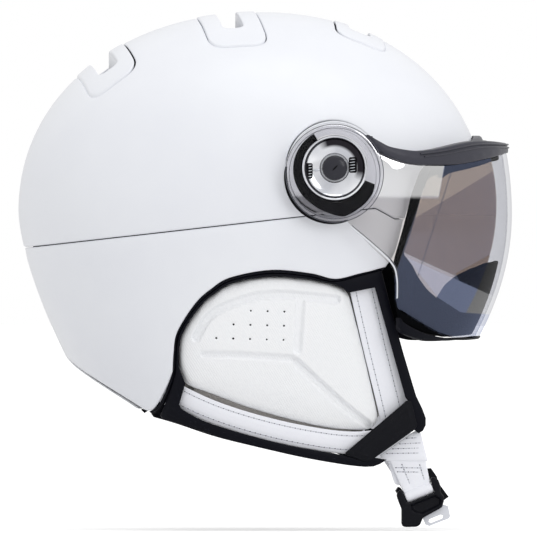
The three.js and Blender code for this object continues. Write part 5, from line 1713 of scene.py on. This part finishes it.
def finish_cad_nodes():
    for name, material in CAD_FINISH.items():
        node = frame["nodes"][name]
        node.data.materials.clear()
        node.data.materials.append(material)
        node.data.shade_smooth()
        node.data.set_sharp_from_angle(angle=math.radians(35))
        if name in SOFT_EDGE:
            bevel = node.modifiers.new("soft_edge", "BEVEL")
            bevel.width = SOFT_EDGE[name] * MM
            bevel.segments = 3
            bevel.limit_method = "ANGLE"
            bevel.angle_limit = math.radians(35)
            bevel.harden_normals = True


# ---------------------------------------------------------------- stage

def build_floor():
    """A pale floor, brightened where the camera sees it so that it runs into the backdrop."""
    size, level = 40.0, -0.002
    mesh = bpy.data.meshes.new("floor")
    corners = [(-size, -size, level), (size, -size, level), (size, size, level), (-size, size, level)]
    mesh.from_pydata(corners, [], [(0, 1, 2, 3)])
    floor = bpy.data.objects.new("floor", mesh)
    bpy.context.scene.collection.objects.link(floor)
    n = Nodes("floor_white")
    camera_ray = n.add("ShaderNodeLightPath").outputs["Is Camera Ray"]
    paper = n.add("ShaderNodeBsdfDiffuse", {"Color": (0.8, 0.8, 0.8, 1)}).outputs[0]
    lift = n.add("ShaderNodeEmission", {"Strength": n.maths("MULTIPLY", camera_ray, 0.46)}).outputs[0]
    mesh.materials.append(n.finish(n.add("ShaderNodeAddShader", {0: paper, 1: lift})))


def build_world():
    """A white backdrop whose light is strongest overhead and weaker round the horizon."""
    world = bpy.data.worlds.new("studio")
    bpy.context.scene.world = world
    world.use_nodes = True
    tree = world.node_tree
    background = tree.nodes["Background"]

    def add(kind, **inputs):
        node = tree.nodes.new(kind)
        for key, value in inputs.items():
            feed(tree, node, key.replace("_", " "), value)
        return node

    up = add("ShaderNodeSeparateXYZ", Vector=add("ShaderNodeTexCoord").outputs["Generated"]).outputs["Z"]
    graded = add("ShaderNodeMapRange", Value=up, From_Min=-0.1, From_Max=0.9, To_Min=0.74, To_Max=1.0)
    camera_ray = add("ShaderNodeLightPath").outputs["Is Camera Ray"]
    lit = add("ShaderNodeMix", Factor=camera_ray, A=graded.outputs[0], B=1.0)
    background.inputs["Color"].default_value = (1, 1, 1, 1)
    tree.links.new(lit.outputs[0], background.inputs["Strength"])


def soft_light(name, place, size, power):
    light = bpy.data.lights.new(name, "AREA")
    light.shape = "DISK"
    light.size = size
    light.energy = power
    lamp = bpy.data.objects.new(name, light)
    lamp.location = place
    lamp.rotation_euler = (Vector((0, 0, 0.15)) - Vector(place)).to_track_quat("-Z", "Y").to_euler()
    bpy.context.scene.collection.objects.link(lamp)


def build_camera():
    """A long lens at the photo's side view, aimed at the middle of the helmet."""
    azimuth, distance = -PHOTO_TURN, 10.0
    target = Vector((0.002, 0, 0.1456))
    width_seen = 0.319
    camera = bpy.data.cameras.new("camera")
    camera.sensor_width = 36.0
    camera.lens = camera.sensor_width * distance / width_seen
    camera.clip_start, camera.clip_end = 0.1, 60
    holder = bpy.data.objects.new("camera", camera)
    back = Vector((math.sin(azimuth), -math.cos(azimuth), 0))
    holder.location = target + back * distance
    holder.rotation_euler = (-back).to_track_quat("-Z", "Y").to_euler()
    bpy.context.scene.collection.objects.link(holder)
    bpy.context.scene.camera = holder


def build_stage():
    build_floor()
    build_world()
    soft_light("top_light", (0.25, -0.5, 1.9), 1.2, 4)
    soft_light("front_light", (1.2, -1.6, 0.9), 1.0, 6)
    bpy.context.scene.view_settings.view_transform = "Standard"
    bpy.context.scene.view_settings.look = "None"
    build_camera()


build_upper_shell()
build_lower_shell()
build_vents()
build_screen()
build_screen_edges()
build_brow_trim()
build_face_seal()
build_lower_lip()
build_pivots()
build_brow_gasket()
for side, word in SIDES:
    build_flap_frame(side, word)
    build_ear_hem(side, word)
    build_ear_pad(side, word)
    build_gap_lining(side, word)
    build_flap_straps(side, word)
    build_divider(side, word)
    build_chin_strap(side, word)
build_buckle()
for side, word in SIDES:
    build_ear_lining(side, word)
build_brow_pad()
build_side_pads()
build_crown_pad()
finish_cad_nodes()
build_stage()
